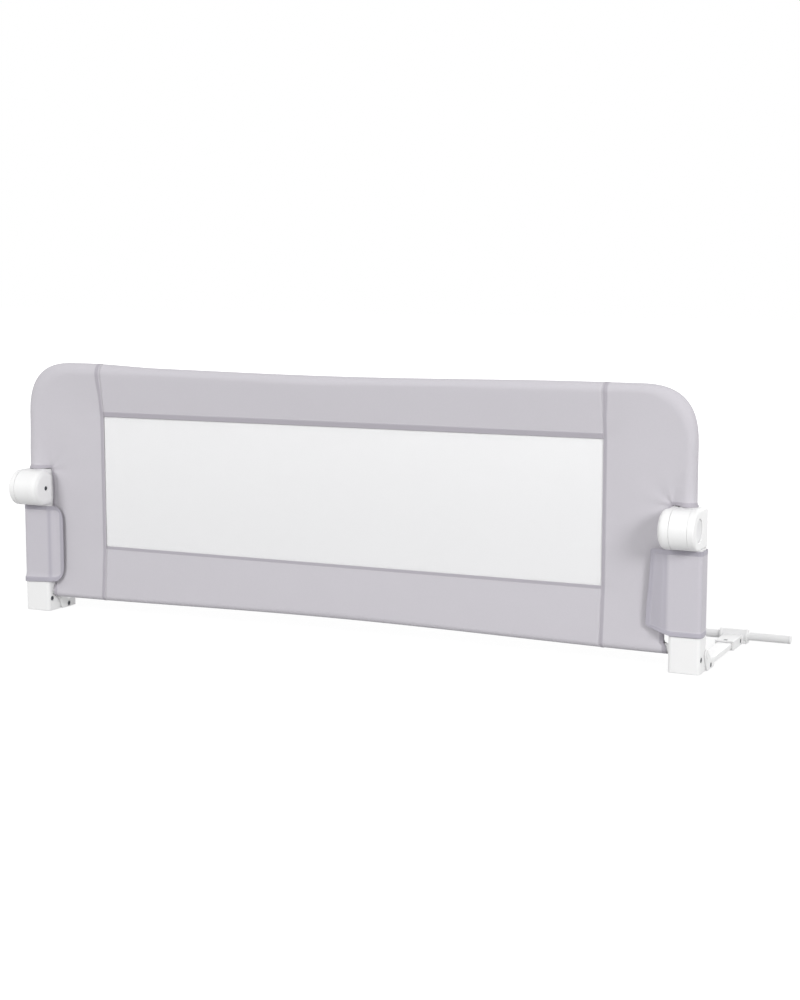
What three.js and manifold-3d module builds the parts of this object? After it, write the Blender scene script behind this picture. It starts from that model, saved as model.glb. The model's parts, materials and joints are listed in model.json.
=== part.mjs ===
import * as THREE from 'three';
import { mergeVertices } from 'three/addons/utils/BufferGeometryUtils.js';
import Module from 'manifold-3d';

// Folding bed guard rail, in millimetres, +Z up.
// X runs along the rail, -Y faces the room, +Y faces the bed, and Z = 0 is the surface that it stands on.
// Places along the rail are distances from its middle, and side is -1 on the left and 1 on the right.

const wasm = await Module();
wasm.setup();

// Driving dimensions
const gap = 0.3; // between pieces that seat on or pass one another
const overrun = 2; // how far a cutting solid runs past the face that it cuts

const rail = {
  height: 418, // top of the cover, at the ends
  tubeSpacing: 1127.6, // between the middles of the two side tubes
  foldHeight: 212.5, // height of the fold's axis
  foldReach: 30, // from the side tubes forward to the fold's axis
  baseReach: 238, // from the side tubes back to the rearmost face of the base
};

const tube = { radius: 11, wall: 1.2, bend: 74.5, straight: 29.3, neckLength: 30, neckWall: 1.1 };
const topTube = { bow: 4.5 };
const bottomTube = { radius: 7, wall: 1, bow: 6.5, socketDepth: 25, height: 32.5 };

const barrel = { radius: 29.5, backReach: 14, endReach: 11.5, cornerRadius: 6, axleRadius: 4 };
const tongue = { width: 27, wall: 2.7, relief: 0.3, collarRadius: 13.3, collarHeight: 3 };
const fork = { innerEar: 14, innerWeb: 8, outerEar: 10.7, floor: 2.6, spigotLength: 30 };
const endCover = { thickness: 3, screwLength: 7.5 };
const lock = { radius: 8.8, length: 7, teeth: 8, toothDepth: 1.2, springRoom: 13, travel: 2.8 };
const button = { radius: 14.8, thickness: 3.4, recess: 1.5, hub: 6.8, dish: 1.2, edge: 1.2 };
const spring = { wire: 0.7, radius: 6.4, turns: 5 };
const crestShare = 0.4; // of a tooth's pitch that its crest takes, from its start
const rootShares = [0.5, 0.9]; // where the groove beside it starts and ends

const leg = { offset: 1.2, width: 46, depth: 30, wall: 2, cornerRadius: 6 };
const block = { width: 48.5, front: 17, back: 19.5, height: 54, cornerRadius: 6, spigotLength: 30 };
const blockBolt = { reach: 9, height: 21 };
const pivot = { reach: 14, height: 24, radius: 3.2, bore: 1.9, flangeRadius: 5.2, flange: 0.8 };

const bracket = { ear: 2.6, earRadius: 8.8, length: 34, height: 14, heelReach: 1.5, neckReach: 20 };
const arm = { offset: 13.9, width: 23, height: 10, lift: 2, wall: 1.5, insert: 29 };
const armBolt = { reach: 15, height: 5.4 };
const tee = { width: 44, radius: 10.5, neckWidth: 29.5, neckHeight: 14.4, neckLength: 62, footDepth: 15 };
const teeScrew = { topReach: 8, sideReach: 9, sideHeight: 6.8 };
const crossTube = { radius: 6.4, wall: 1, height: 11.5, overhang: 86.3 };
const cap = { flange: 2, plug: 12, edge: 0.8 };

const screw = { headRadius: 3.6, headHeight: 1.8, headEdge: 0.8, shankRadius: 1.9, length: 12 };
const hexSocket = { radius: 1.7, depth: 1 };
const bolt = { headRadius: 4, headHeight: 2.2, shankRadius: 2.1 };

const cover = {
  skin: 1.2, // cloth round a tube
  webRelief: 0.4, // how much thinner the flat part is than the sleeves
  seam: 5, // thickness beside the window
  shoulder: 8, // full thickness past the tube's inner side
  lowerInset: 11.75, // from the block's inner face
  lowerTaper: 50,
};
const notch = { inside: 1.2, below: 34.5, above: 32.3 }; // how far the cover is cut away round each hinge
const meshWindow = { sideBand: 128.8, topBand: 83.5, bottomBand: 84.5, thickness: 1.6 };
const wrap = { thickness: 1.5, frontReach: 35, backReach: 30, headroom: 5, cornerRadius: 4 };

const roundSides = 20;
const smallSides = 10;
const socketSides = 6;
const barrelSides = 40;
const tubeSides = 16;
const bendSteps = 6;
const bowSteps = 8;
const cornerSteps = 3;
const coilSteps = 8; // in each turn of a spring

// Places that follow from the driving dimensions
const tubeX = rail.tubeSpacing / 2;
const barrelFront = rail.foldReach + barrel.radius;
const midY = (barrelFront - rail.baseReach) / 2; // middle plane of the side tubes
const axisY = midY - rail.foldReach;
const axisZ = rail.foldHeight;
const coverRadius = tube.radius + gap + cover.skin;
const bottomRadius = bottomTube.radius + gap + cover.skin;
const topZ = rail.height - coverRadius;
const legX = tubeX + leg.offset;
const armX = tubeX + arm.offset;
const crossY = midY + rail.baseReach - tee.radius;
const pivotY = midY + pivot.reach;
const legBottom = block.height + gap;
const forkBottom = axisZ - barrel.radius;
const legInner = legX - leg.width / 2;
const topHalf = tubeX - tube.bend - tube.straight; // half the length of the top tube
const crossHalf = armX + crossTube.overhang;
const windowHalf = tubeX - meshWindow.sideBand;
const windowLow = bottomTube.height + meshWindow.bottomBand;
const windowHigh = rail.height - meshWindow.topBand;
const lowerHalf = legX - block.width / 2 - cover.lowerInset;
const notchLevel = [axisZ - notch.below, axisZ + notch.above];
const wrapTop = forkBottom - wrap.headroom;

const tongueInner = tubeX - tongue.width / 2;
const tongueOuter = tubeX + tongue.width / 2;
const innerEarFace = tongueInner - gap - fork.innerEar;
const innerWebFace = tongueInner - gap - fork.innerWeb;
const outerEarFloor = tongueOuter + gap + fork.floor;
const outerEarFace = tongueOuter + gap + fork.outerEar;
const endCoverFace = innerEarFace - gap - endCover.thickness;
const notchHalf = endCoverFace - notch.inside;
const buttonFace = outerEarFace - button.recess;
const lockOuter = outerEarFloor - gap;
const lockInner = lockOuter - lock.length;
const springSeat = lockInner - lock.springRoom;

const colours = {
  fabric: 0xcac7cd,
  seamFabric: 0xc3c0c8,
  mesh: 0xededee,
  whitePlastic: 0xf4f4f3,
  greyPlastic: 0xe4e4e4,
  whiteSteel: 0xeeeeee,
  bareSteel: 0xb9bcc0,
  darkSteel: 0x6b6d70,
};

// Solids

function solidOf(geometry) {
  const bare = geometry.clone();
  bare.deleteAttribute('normal');
  bare.deleteAttribute('uv');
  const merged = mergeVertices(bare);
  const corners = merged.attributes.position.array;
  const triangles = wholeTriangles(merged.index.array);
  if (signedVolume(corners, triangles) < 0) triangles.reverse();
  return new wasm.Manifold(new wasm.Mesh({
    numProp: 3,
    vertProperties: new Float32Array(corners),
    triVerts: new Uint32Array(triangles),
  }));
}

function wholeTriangles(index) {
  const kept = [];
  for (let i = 0; i < index.length; i += 3) {
    const [a, b, c] = [index[i], index[i + 1], index[i + 2]];
    if (a !== b && b !== c && c !== a) kept.push(a, b, c);
  }
  return kept;
}

function signedVolume(corners, triangles) {
  const at = (i) => new THREE.Vector3().fromArray(corners, triangles[i] * 3);
  let volume = 0;
  for (let i = 0; i < triangles.length; i += 3) volume += at(i).dot(at(i + 1).cross(at(i + 2)));
  return volume;
}

function geometryOf(solid) {
  const mesh = solid.getMesh();
  const geometry = new THREE.BufferGeometry();
  geometry.setAttribute('position', new THREE.BufferAttribute(mesh.vertProperties, mesh.numProp));
  geometry.setIndex(new THREE.BufferAttribute(mesh.triVerts, 1));
  geometry.computeVertexNormals();
  return geometry;
}

function box(x, y, z) {
  const size = [x, y, z].map(([from, to]) => Math.abs(to - from));
  const middle = [x, y, z].map(([from, to]) => (from + to) / 2);
  return solidOf(new THREE.BoxGeometry(...size).translate(...middle));
}

// Turns a geometry made along +Y so that it runs along the named axis.
function along(axis, direction, geometry) {
  if (axis === 'x') geometry.rotateZ(-direction * Math.PI / 2);
  if (axis === 'z') geometry.rotateX(direction * Math.PI / 2);
  if (axis === 'y' && direction < 0) geometry.rotateX(Math.PI);
  return geometry;
}

function rod(axis, radius, from, to, centre, sides = roundSides) {
  const geometry = along(axis, 1, new THREE.CylinderGeometry(radius, radius, Math.abs(to - from), sides));
  const place = { ...centre, [axis]: (from + to) / 2 };
  return solidOf(geometry.translate(place.x, place.y, place.z));
}

// A turned piece: the profile's points are [radius, distance along the axis] and start and end on the axis,
// or close on themselves.
function turned(axis, direction, profile, place, sides = roundSides) {
  const points = profile.map(([radius, distance]) => new THREE.Vector2(radius, distance));
  const geometry = along(axis, direction, new THREE.LatheGeometry(points, sides));
  return solidOf(geometry.translate(place.x, place.y, place.z));
}

function extrudeX(shape, from, to) {
  const depth = Math.abs(to - from);
  const geometry = new THREE.ExtrudeGeometry(shape, { depth, bevelEnabled: false });
  const turn = new THREE.Matrix4().makeBasis(
    new THREE.Vector3(0, 1, 0),
    new THREE.Vector3(0, 0, 1),
    new THREE.Vector3(1, 0, 0),
  );
  return solidOf(geometry.applyMatrix4(turn).translate(Math.min(from, to), 0, 0));
}

function extrudeZ(shape, from, to) {
  const depth = to - from;
  const geometry = new THREE.ExtrudeGeometry(shape, { depth, bevelEnabled: false });
  return solidOf(geometry.translate(0, 0, from));
}

function sweep(path, radius, steps, bore = 0, sides = roundSides) {
  const shape = new THREE.Shape();
  shape.absarc(0, 0, radius, 0, 2 * Math.PI);
  if (bore > 0) shape.holes.push(new THREE.Path().absarc(0, 0, bore, 0, 2 * Math.PI));
  return solidOf(new THREE.ExtrudeGeometry(shape, { extrudePath: path, steps, curveSegments: sides / 2 }));
}

function polygon(points) {
  return new THREE.Shape(points.map(([a, b]) => new THREE.Vector2(a, b)));
}

// The points of an arc, from one angle to another in equal steps.
function arc(a, b, radius, from, to, steps) {
  return Array.from({ length: steps + 1 }, (_, i) => {
    const angle = from + (to - from) * i / steps;
    return [a + radius * Math.cos(angle), b + radius * Math.sin(angle)];
  });
}

function roundedRectangle([left, right], [low, high], radius) {
  const quarter = Math.PI / 2;
  const corners = [[right - radius, low + radius], [right - radius, high - radius],
    [left + radius, high - radius], [left + radius, low + radius]];
  return polygon(corners.flatMap(([a, b], i) => {
    return arc(a, b, radius, quarter * (i - 1), quarter * i, cornerSteps);
  }));
}

const across = (middle, width) => [middle - width / 2, middle + width / 2];
const onSide = (side, [near, far]) => [Math.min(side * near, side * far), Math.max(side * near, side * far)];
const sideName = (side) => (side < 0 ? 'left' : 'right');

// Paths of the tubes

// Two straight lines joined by a quarter turn. Each line is one step, and the turn has bendSteps equal steps.
class BentPath extends THREE.Curve {
  constructor(start, corner, end, radius) {
    super();
    this.into = corner.clone().sub(start).normalize();
    this.out = end.clone().sub(corner).normalize();
    this.start = start;
    this.end = end;
    this.radius = radius;
    this.centre = corner.clone().addScaledVector(this.into, -radius).addScaledVector(this.out, radius);
    this.steps = bendSteps + 2;
  }

  turnAt(t) {
    return Math.PI / 2 * THREE.MathUtils.clamp((t * this.steps - 1) / bendSteps, 0, 1);
  }

  getPointAt(t) {
    if (t <= 0) return this.start.clone();
    if (t >= 1) return this.end.clone();
    const turn = this.turnAt(t);
    return this.centre.clone()
      .addScaledVector(this.into, this.radius * Math.sin(turn))
      .addScaledVector(this.out, -this.radius * Math.cos(turn));
  }

  getTangentAt(t) {
    const turn = this.turnAt(t);
    return this.into.clone().multiplyScalar(Math.cos(turn)).addScaledVector(this.out, Math.sin(turn));
  }
}

// A tube that the stretched cloth draws out of line by bow at its middle, with straight ends.
class BowedPath extends THREE.Curve {
  constructor(half, height, bow) {
    super();
    Object.assign(this, { half, height, bow });
  }

  getPoint(t) {
    const x = this.half * (2 * t - 1);
    return new THREE.Vector3(x, midY, this.height + bowAt(x, this.half, this.bow));
  }
}

function bowPoints(half, height, bow) {
  return Array.from({ length: bowSteps + 1 }, (_, step) => {
    const x = half * (2 * step / bowSteps - 1);
    return [x, height + bowAt(x, half, bow)];
  });
}

function bowAt(x, half, bow) {
  if (Math.abs(x) >= half) return 0;
  return bow * (1 + Math.cos(Math.PI * x / half)) / 2;
}

function sideTubePath(side, inner = topHalf + gap) {
  const low = new THREE.Vector3(side * tubeX, midY, axisZ + tube.wall + tongue.wall);
  const corner = new THREE.Vector3(side * tubeX, midY, topZ);
  const end = new THREE.Vector3(side * inner, midY, topZ);
  return new BentPath(low, corner, end, tube.bend);
}

const bottomHalf = legX - block.width / 2 + bottomTube.socketDepth - gap;
const topTubePath = new BowedPath(topHalf, topZ, -topTube.bow);
const bottomTubePath = new BowedPath(bottomHalf, bottomTube.height, bottomTube.bow);

// Fasteners

// A pan screw with a hexagon socket: its head's outer face is at place, and its shank runs along direction.
function screwSolid(axis, direction, place, { headRadius, headHeight, shankRadius }, length) {
  const body = turned(axis, direction, [
    [0, 0],
    [headRadius - screw.headEdge, 0],
    [headRadius, screw.headEdge],
    [headRadius, headHeight],
    [shankRadius, headHeight],
    [shankRadius, length - shankRadius],
    [0, length],
  ], place, smallSides);
  return body.subtract(socketCut(axis, direction, place));
}

function socketCut(axis, direction, place) {
  const start = place[axis] - direction * overrun;
  return rod(axis, hexSocket.radius, start, place[axis] + direction * hexSocket.depth, place, socketSides);
}

// The hole that takes such a screw, with its head sunk by sink below the face.
function screwHole(axis, direction, place, { headRadius, headHeight, shankRadius }, length) {
  const faceEnd = place[axis] - direction * overrun;
  const seat = place[axis] + direction * (headHeight + gap);
  const tip = place[axis] + direction * (length + gap);
  const head = rod(axis, headRadius + gap, faceEnd, seat, place, smallSides);
  return head.add(rod(axis, shankRadius + gap, faceEnd, tip, place, smallSides));
}

const sunkHead = (headHeight) => headHeight / 8;

// Corner blocks and legs

function legPlaces(side) {
  const x = side * legX;
  const boltLine = { y: midY - blockBolt.reach, z: blockBolt.height };
  const boltReach = block.width / 2 - sunkHead(bolt.headHeight);
  return {
    x,
    blockX: across(x, block.width),
    blockY: [midY - block.front, midY + block.back],
    boltFrom: { x: side * (legX + boltReach), ...boltLine },
    boltTo: { x: side * (legX - boltReach), ...boltLine },
    lowScrew: { x, y: midY + leg.depth / 2 - sunkHead(leg.wall), z: legBottom + block.spigotLength / 2 },
    highScrew: { x, y: midY + leg.depth / 2 - sunkHead(leg.wall), z: forkBottom - fork.spigotLength / 2 },
  };
}

function spigot(side, [low, high]) {
  const shrink = leg.wall + gap;
  const x = across(side * legX, leg.width - 2 * shrink);
  const y = across(midY, leg.depth - 2 * shrink);
  return extrudeZ(roundedRectangle(x, y, leg.cornerRadius - leg.wall), low, high);
}

function cornerBlock(side) {
  const { blockX, blockY, boltFrom, boltTo, lowScrew } = legPlaces(side);
  const body = extrudeZ(roundedRectangle(blockX, blockY, block.cornerRadius), 0, block.height);
  const innerFace = side * (legX - block.width / 2);
  const socketEnd = innerFace + side * bottomTube.socketDepth;
  const tubeSocket = rod('x', bottomTube.radius + gap, innerFace - side * overrun, socketEnd, {
    y: midY,
    z: bottomTube.height,
  });
  const pivotHole = rod('x', pivot.radius + gap, ...across(side * legX, block.width + overrun), {
    y: pivotY,
    z: pivot.height,
  }, smallSides);
  const boltHole = rod('x', bolt.shankRadius + gap, boltFrom.x, boltTo.x, boltFrom, smallSides);
  return body
    .add(spigot(side, [block.height - overrun, block.height + block.spigotLength]))
    .subtract(tubeSocket)
    .subtract(pivotHole)
    .subtract(boltHole)
    .subtract(boltHeadRoom(boltFrom, side))
    .subtract(boltHeadRoom(boltTo, -side))
    .subtract(screwHole('y', -1, lowScrew, screw, screw.length));
}

function boltHeadRoom(place, outward) {
  const outer = place.x + outward * overrun;
  const inner = place.x - outward * (bolt.headHeight + gap);
  return rod('x', bolt.headRadius + gap, inner, outer, place, smallSides);
}

// A barrel bolt, with a flat head at each end.
function barrelBolt(from, to, inward) {
  const shank = rod('x', bolt.shankRadius, from.x, to.x, from, smallSides);
  const outerHead = rod('x', bolt.headRadius, from.x, from.x + inward * bolt.headHeight, from, smallSides);
  const innerHead = rod('x', bolt.headRadius, to.x, to.x - inward * bolt.headHeight, to, smallSides);
  return shank
    .add(outerHead)
    .add(innerHead)
    .subtract(socketCut('x', inward, from))
    .subtract(socketCut('x', -inward, to));
}

function post(side) {
  const { lowScrew, highScrew } = legPlaces(side);
  const inside = leg.wall;
  const outer = roundedRectangle(across(side * legX, leg.width), across(midY, leg.depth), leg.cornerRadius);
  outer.holes.push(roundedRectangle(
    across(side * legX, leg.width - 2 * inside),
    across(midY, leg.depth - 2 * inside),
    leg.cornerRadius - inside,
  ));
  const body = extrudeZ(outer, legBottom, forkBottom - gap);
  return [lowScrew, highScrew].reduce((rest, place) => {
    const wallInside = place.y - leg.wall - overrun;
    return rest.subtract(rod('y', screw.headRadius + gap, wallInside, place.y + overrun, place, smallSides));
  }, body);
}

// Hinges

const backY = midY + barrel.backReach;
const axis = { y: axisY, z: axisZ };

// Round in front, square below at the back and rounded above.
function barrelProfile() {
  const { radius, cornerRadius } = barrel;
  return polygon([
    ...arc(axisY, axisZ, radius, Math.PI / 2, 1.5 * Math.PI, barrelSides / 2),
    [backY, axisZ - radius],
    ...arc(backY - cornerRadius, axisZ + radius - cornerRadius, cornerRadius, 0, Math.PI / 2, cornerSteps),
  ]);
}

// The barrel's inner end stands in front of the panel. It is round in front, with two rounded corners behind.
function barrelEndProfile() {
  const { radius, endReach, cornerRadius } = barrel;
  const cornerY = axisY + endReach - cornerRadius;
  const cornerZ = [axisZ - radius + cornerRadius, axisZ + radius - cornerRadius];
  return polygon([
    ...arc(axisY, axisZ, radius, Math.PI / 2, 1.5 * Math.PI, barrelSides / 2),
    ...arc(cornerY, cornerZ[0], cornerRadius, 1.5 * Math.PI, 2 * Math.PI, cornerSteps),
    ...arc(cornerY, cornerZ[1], cornerRadius, 0, Math.PI / 2, cornerSteps),
  ]);
}

function endCoverScrewPlace(side) {
  return { x: side * (endCoverFace + sunkHead(screw.headHeight)), ...axis };
}

function hingeFork(side) {
  const innerEnd = extrudeX(barrelEndProfile(), ...onSide(side, [innerEarFace, tongueInner - gap]));
  const ears = [[innerWebFace, tongueInner - gap], [tongueOuter + gap, outerEarFace]];
  const [innerWeb, outerEar] = ears.map((ear) => {
    return extrudeX(barrelProfile(), ...onSide(side, ear));
  });
  const saddle = box(onSide(side, [innerWebFace, outerEarFace]), [axisY, backY], [forkBottom, axisZ - gap]);
  const tongueWidth = onSide(side, [tongueInner - gap, tongueOuter + gap]);
  const tongueRoom = rod('x', barrel.radius + gap, ...tongueWidth, axis, barrelSides);
  const wellWidth = onSide(side, [outerEarFloor, outerEarFace + overrun]);
  const buttonWell = rod('x', button.radius + gap, ...wellWidth, axis);
  const lockHole = lockProfile(side, tongueOuter, outerEarFace, gap);
  const axleWidth = onSide(side, [innerEarFace - overrun, tongueOuter]);
  const axleHole = rod('x', barrel.axleRadius + gap, ...axleWidth, axis);
  const { highScrew } = legPlaces(side);
  return innerEnd
    .add(innerWeb)
    .add(outerEar)
    .add(saddle.subtract(tongueRoom))
    .add(spigot(side, [forkBottom - fork.spigotLength, forkBottom + overrun]))
    .subtract(buttonWell)
    .subtract(lockHole)
    .subtract(axleHole)
    .subtract(rod('x', lock.radius, side * innerEarFace, side * (innerEarFace + fork.innerEar / 2), axis))
    .subtract(screwHole('y', -1, highScrew, screw, screw.length));
}

function hingeTongue(side) {
  const width = onSide(side, [tongueInner, tongueOuter]);
  const radius = barrel.radius - tongue.relief;
  const disc = rod('x', radius, ...width, axis, barrelSides);
  const reach = box(width, [axisY, backY], [axisZ + gap, axisZ + radius]);
  const tubePlace = { x: side * tubeX, y: midY };
  const top = axisZ + radius;
  const collar = rod('z', tongue.collarRadius, top - overrun, top + tongue.collarHeight, tubePlace);
  const socketFloor = axisZ + tube.wall + tongue.wall - gap;
  const socket = rod('z', tube.radius + gap, socketFloor, top + tongue.collarHeight + overrun, tubePlace);
  const axleWidth = onSide(side, [tongueInner - overrun, tongueOuter]);
  const axleHole = rod('x', barrel.axleRadius + gap, ...axleWidth, axis);
  const boreWidth = onSide(side, [springSeat - gap, tongueOuter + overrun]);
  const lockBore = rod('x', lock.radius + 2 * gap, ...boreWidth, axis);
  return disc
    .add(reach)
    .add(collar)
    .subtract(socket)
    .subtract(axleHole)
    .subtract(lockBore)
    .subtract(screwHole('y', -1, tongueScrewPlace(side), screw, screw.length / 2));
}

function tongueScrewPlace(side) {
  return { x: side * tubeX, y: backY - sunkHead(screw.headHeight), z: axisZ + barrel.radius / 2 };
}

function endCoverPlate(side) {
  const faces = onSide(side, [endCoverFace, innerEarFace - gap]);
  return extrudeX(barrelEndProfile(), ...faces)
    .subtract(screwHole('x', side, endCoverScrewPlace(side), screw, endCover.screwLength));
}

// The axle: its head is let into the inner ear, under the end cover, whose screw goes into it.
function hingeAxle(side) {
  const headEnd = innerEarFace + fork.innerEar / 2 - gap;
  const head = rod('x', lock.radius - gap, side * innerEarFace, side * headEnd, axis);
  return head
    .add(rod('x', barrel.axleRadius, side * innerEarFace, side * outerEarFloor, axis))
    .subtract(screwHole('x', side, endCoverScrewPlace(side), screw, endCover.screwLength));
}

// The round lock slider with its teeth, or the toothed hole for it when it is grown by clearance.
function lockProfile(side, from, to, clearance) {
  const crest = lock.radius + clearance;
  const root = crest - lock.toothDepth;
  const pitch = 2 * Math.PI / lock.teeth;
  const points = Array.from({ length: lock.teeth }, (_, tooth) => [
    ...arc(axisY, axisZ, crest, pitch * tooth, pitch * (tooth + crestShare), 2),
    ...arc(axisY, axisZ, root, pitch * (tooth + rootShares[0]), pitch * (tooth + rootShares[1]), 1),
  ]);
  return extrudeX(polygon(points.flat()), ...onSide(side, [from, to]));
}

function lockSlider(side) {
  const roomWidth = onSide(side, [lockInner - overrun, lockOuter + overrun]);
  const axleRoom = rod('x', barrel.axleRadius + gap, ...roomWidth, axis);
  return lockProfile(side, lockInner, lockOuter, 0).subtract(axleRoom);
}

// The button is dished. Its hub reaches through the toothed hole to the lock slider.
// It is bored for the axle.
function releaseButton(side) {
  const place = { x: side * buttonFace, ...axis };
  const hubEnd = buttonFace - lockOuter - gap;
  const boreEnd = hubEnd - lock.travel - 2 * gap;
  return turned('x', -side, [
    [0, button.dish],
    [button.radius - 3 * button.edge, button.dish],
    [button.radius - 2 * button.edge, 0],
    [button.radius - button.edge, 0],
    [button.radius, button.edge],
    [button.radius, button.thickness - button.edge],
    [button.hub, button.thickness],
    [button.hub, hubEnd],
    [barrel.axleRadius + gap, hubEnd],
    [barrel.axleRadius + gap, boreEnd],
    [0, boreEnd],
  ], place);
}

class SpringPath extends THREE.Curve {
  constructor(side) {
    super();
    this.side = side;
  }

  getPoint(t) {
    const inner = springSeat + spring.wire + gap;
    const outer = lockInner - spring.wire - gap;
    const angle = 2 * Math.PI * spring.turns * t;
    return new THREE.Vector3(
      this.side * (inner + t * (outer - inner)),
      axisY + spring.radius * Math.cos(angle),
      axisZ + spring.radius * Math.sin(angle),
    );
  }
}

function lockSpring(side) {
  return sweep(new SpringPath(side), spring.wire, spring.turns * coilSteps, 0, socketSides);
}

// Upper frame

function sideTube(side) {
  const path = sideTubePath(side);
  const bent = sweep(path, tube.radius, path.steps, tube.radius - tube.wall, tubeSides);
  const neckRadius = tube.radius - tube.wall - gap;
  const start = side * (topHalf + tube.neckLength);
  const end = side * (topHalf - tube.neckLength);
  const place = { y: midY, z: topZ };
  const neck = rod('x', tube.radius - tube.wall / 2, start, side * (topHalf + gap), place, tubeSides)
    .add(rod('x', neckRadius, start, end, place, tubeSides));
  const boreRadius = neckRadius - tube.neckWall;
  const bore = rod('x', boreRadius, start + side * overrun, end - side * overrun, place, tubeSides);
  return bent
    .add(neck.subtract(bore))
    .subtract(rod('y', screw.shankRadius + gap, midY, backY, tongueScrewPlace(side), smallSides));
}

function topTubeSolid() {
  return sweep(topTubePath, tube.radius, bowSteps, tube.radius - tube.wall, tubeSides);
}

function bottomTubeSolid() {
  return sweep(bottomTubePath, bottomTube.radius, bowSteps, bottomTube.radius - bottomTube.wall, tubeSides);
}

// Cloth cover

// The upper cover before it is cut into bands: sleeves round the tubes, and a flat web between them.
function upperCover() {
  const corner = tube.bend;
  const low = axisZ - barrel.radius;
  const shape = polygon([
    [tubeX, low],
    ...arc(tubeX - corner, topZ - corner, corner, 0, Math.PI / 2, bendSteps),
    ...bowPoints(topHalf, topZ, -topTube.bow).reverse(),
    ...arc(corner - tubeX, topZ - corner, corner, Math.PI / 2, Math.PI, bendSteps),
    [-tubeX, low],
  ]);
  const sleeves = [-1, 1].map((side) => {
    const path = sideTubePath(side, topHalf - overrun);
    return sweep(path, coverRadius, path.steps, 0, tubeSides);
  });
  return flatWeb(shape, coverRadius - cover.webRelief)
    .add(sweep(topTubePath, coverRadius, bowSteps, 0, tubeSides))
    .add(sleeves[0])
    .add(sleeves[1]);
}

function lowerCover() {
  const half = lowerHalf;
  const high = axisZ + barrel.radius;
  const shape = polygon([
    [-bottomHalf, high],
    ...bowPoints(bottomHalf, bottomTube.height, bottomTube.bow),
    [bottomHalf, high],
  ]);
  const limits = box([-half, half], depthRange, [0, high]);
  return flatWeb(shape, bottomRadius - cover.webRelief)
    .add(sweep(bottomTubePath, bottomRadius, bowSteps, 0, tubeSides))
    .intersect(limits);
}

function flatWeb(shape, halfThickness) {
  const geometry = new THREE.ExtrudeGeometry(shape, {
    depth: 2 * halfThickness,
    bevelEnabled: false,
  });
  return solidOf(geometry.rotateX(Math.PI / 2).translate(0, midY + halfThickness, 0));
}

// A wedge that is thin at the seam beside the window and full at the tube.
// It narrows along X on a side band, and along Z on the top and bottom bands.
function sideWedge(side, halfThickness, fullFrom) {
  const seam = windowHalf - gap;
  const end = tubeX + coverRadius + overrun;
  return extrudeZ(polygon([
    [side * seam, midY - cover.seam / 2],
    [side * fullFrom, midY - halfThickness],
    [side * end, midY - halfThickness],
    [side * end, midY + halfThickness],
    [side * fullFrom, midY + halfThickness],
    [side * seam, midY + cover.seam / 2],
  ]), 0, rail.height + overrun);
}

function levelWedge(seam, fullFrom, end, halfThickness, halfLength) {
  return extrudeX(polygon([
    [midY - cover.seam / 2, seam],
    [midY - halfThickness, fullFrom],
    [midY - halfThickness, end],
    [midY + halfThickness, end],
    [midY + halfThickness, fullFrom],
    [midY + cover.seam / 2, seam],
  ]), -halfLength, halfLength);
}

const panelHalf = tubeX + coverRadius + overrun;
const tubeFull = tube.radius + cover.shoulder;
const topWedge = levelWedge(windowHigh, topZ - topTube.bow - tubeFull, rail.height + overrun,
  coverRadius + cover.webRelief, panelHalf);
const bottomFull = bottomTube.height + bottomTube.bow + bottomTube.radius + cover.shoulder;
const bottomWedge = levelWedge(windowLow, bottomFull, 0, bottomRadius + cover.webRelief, panelHalf);

const depthRange = [midY - barrelFront, midY + barrelFront];
const tubeRoom = tube.radius + gap;
const clothRoom = {
  top: sweep(topTubePath, tubeRoom, bowSteps, 0, tubeSides),
  bottom: sweep(bottomTubePath, bottomTube.radius + gap, bowSteps, 0, tubeSides),
};
const upperCloth = upperCover();
const lowerCloth = lowerCover();

function hingeNotch(side) {
  const open = box(onSide(side, [notchHalf, panelHalf + overrun]), depthRange, notchLevel);
  const collarTop = axisZ + barrel.radius - tongue.relief + tongue.collarHeight + gap;
  const collarPlace = { x: side * tubeX, y: midY };
  return open.add(rod('z', tongue.collarRadius + gap, notchLevel[0], collarTop, collarPlace));
}

function upperSideBand(side) {
  const wedge = sideWedge(side, coverRadius + cover.webRelief, tubeX - tubeFull).add(topWedge);
  const level = [axisZ + gap / 2, rail.height + overrun];
  const limits = box(onSide(side, [windowHalf, panelHalf]), depthRange, level);
  const path = sideTubePath(side, topHalf - overrun);
  return upperCloth
    .intersect(limits)
    .intersect(wedge)
    .subtract(sweep(path, tubeRoom, path.steps, 0, tubeSides))
    .subtract(clothRoom.top)
    .subtract(hingeNotch(side));
}

function topBand() {
  const half = windowHalf - gap;
  const limits = box([-half, half], depthRange, [windowHigh, rail.height + overrun]);
  return upperCloth.intersect(limits).intersect(topWedge).subtract(clothRoom.top);
}

function lowerSideBand(side) {
  const taperEnd = windowHalf + cover.lowerTaper;
  const wedge = sideWedge(side, bottomRadius + cover.webRelief, taperEnd).add(bottomWedge);
  const limits = box(onSide(side, [windowHalf, panelHalf]), depthRange, [0, axisZ - gap / 2]);
  return lowerCloth.intersect(limits).intersect(wedge).subtract(clothRoom.bottom).subtract(hingeNotch(side));
}

function bottomBand() {
  const half = windowHalf - gap;
  const limits = box([-half, half], depthRange, [0, windowLow]);
  return lowerCloth.intersect(limits).intersect(bottomWedge).subtract(clothRoom.bottom);
}

function windowMesh(low, high) {
  const half = windowHalf - gap;
  return box([-half, half], across(midY, meshWindow.thickness), [low, high]);
}

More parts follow.
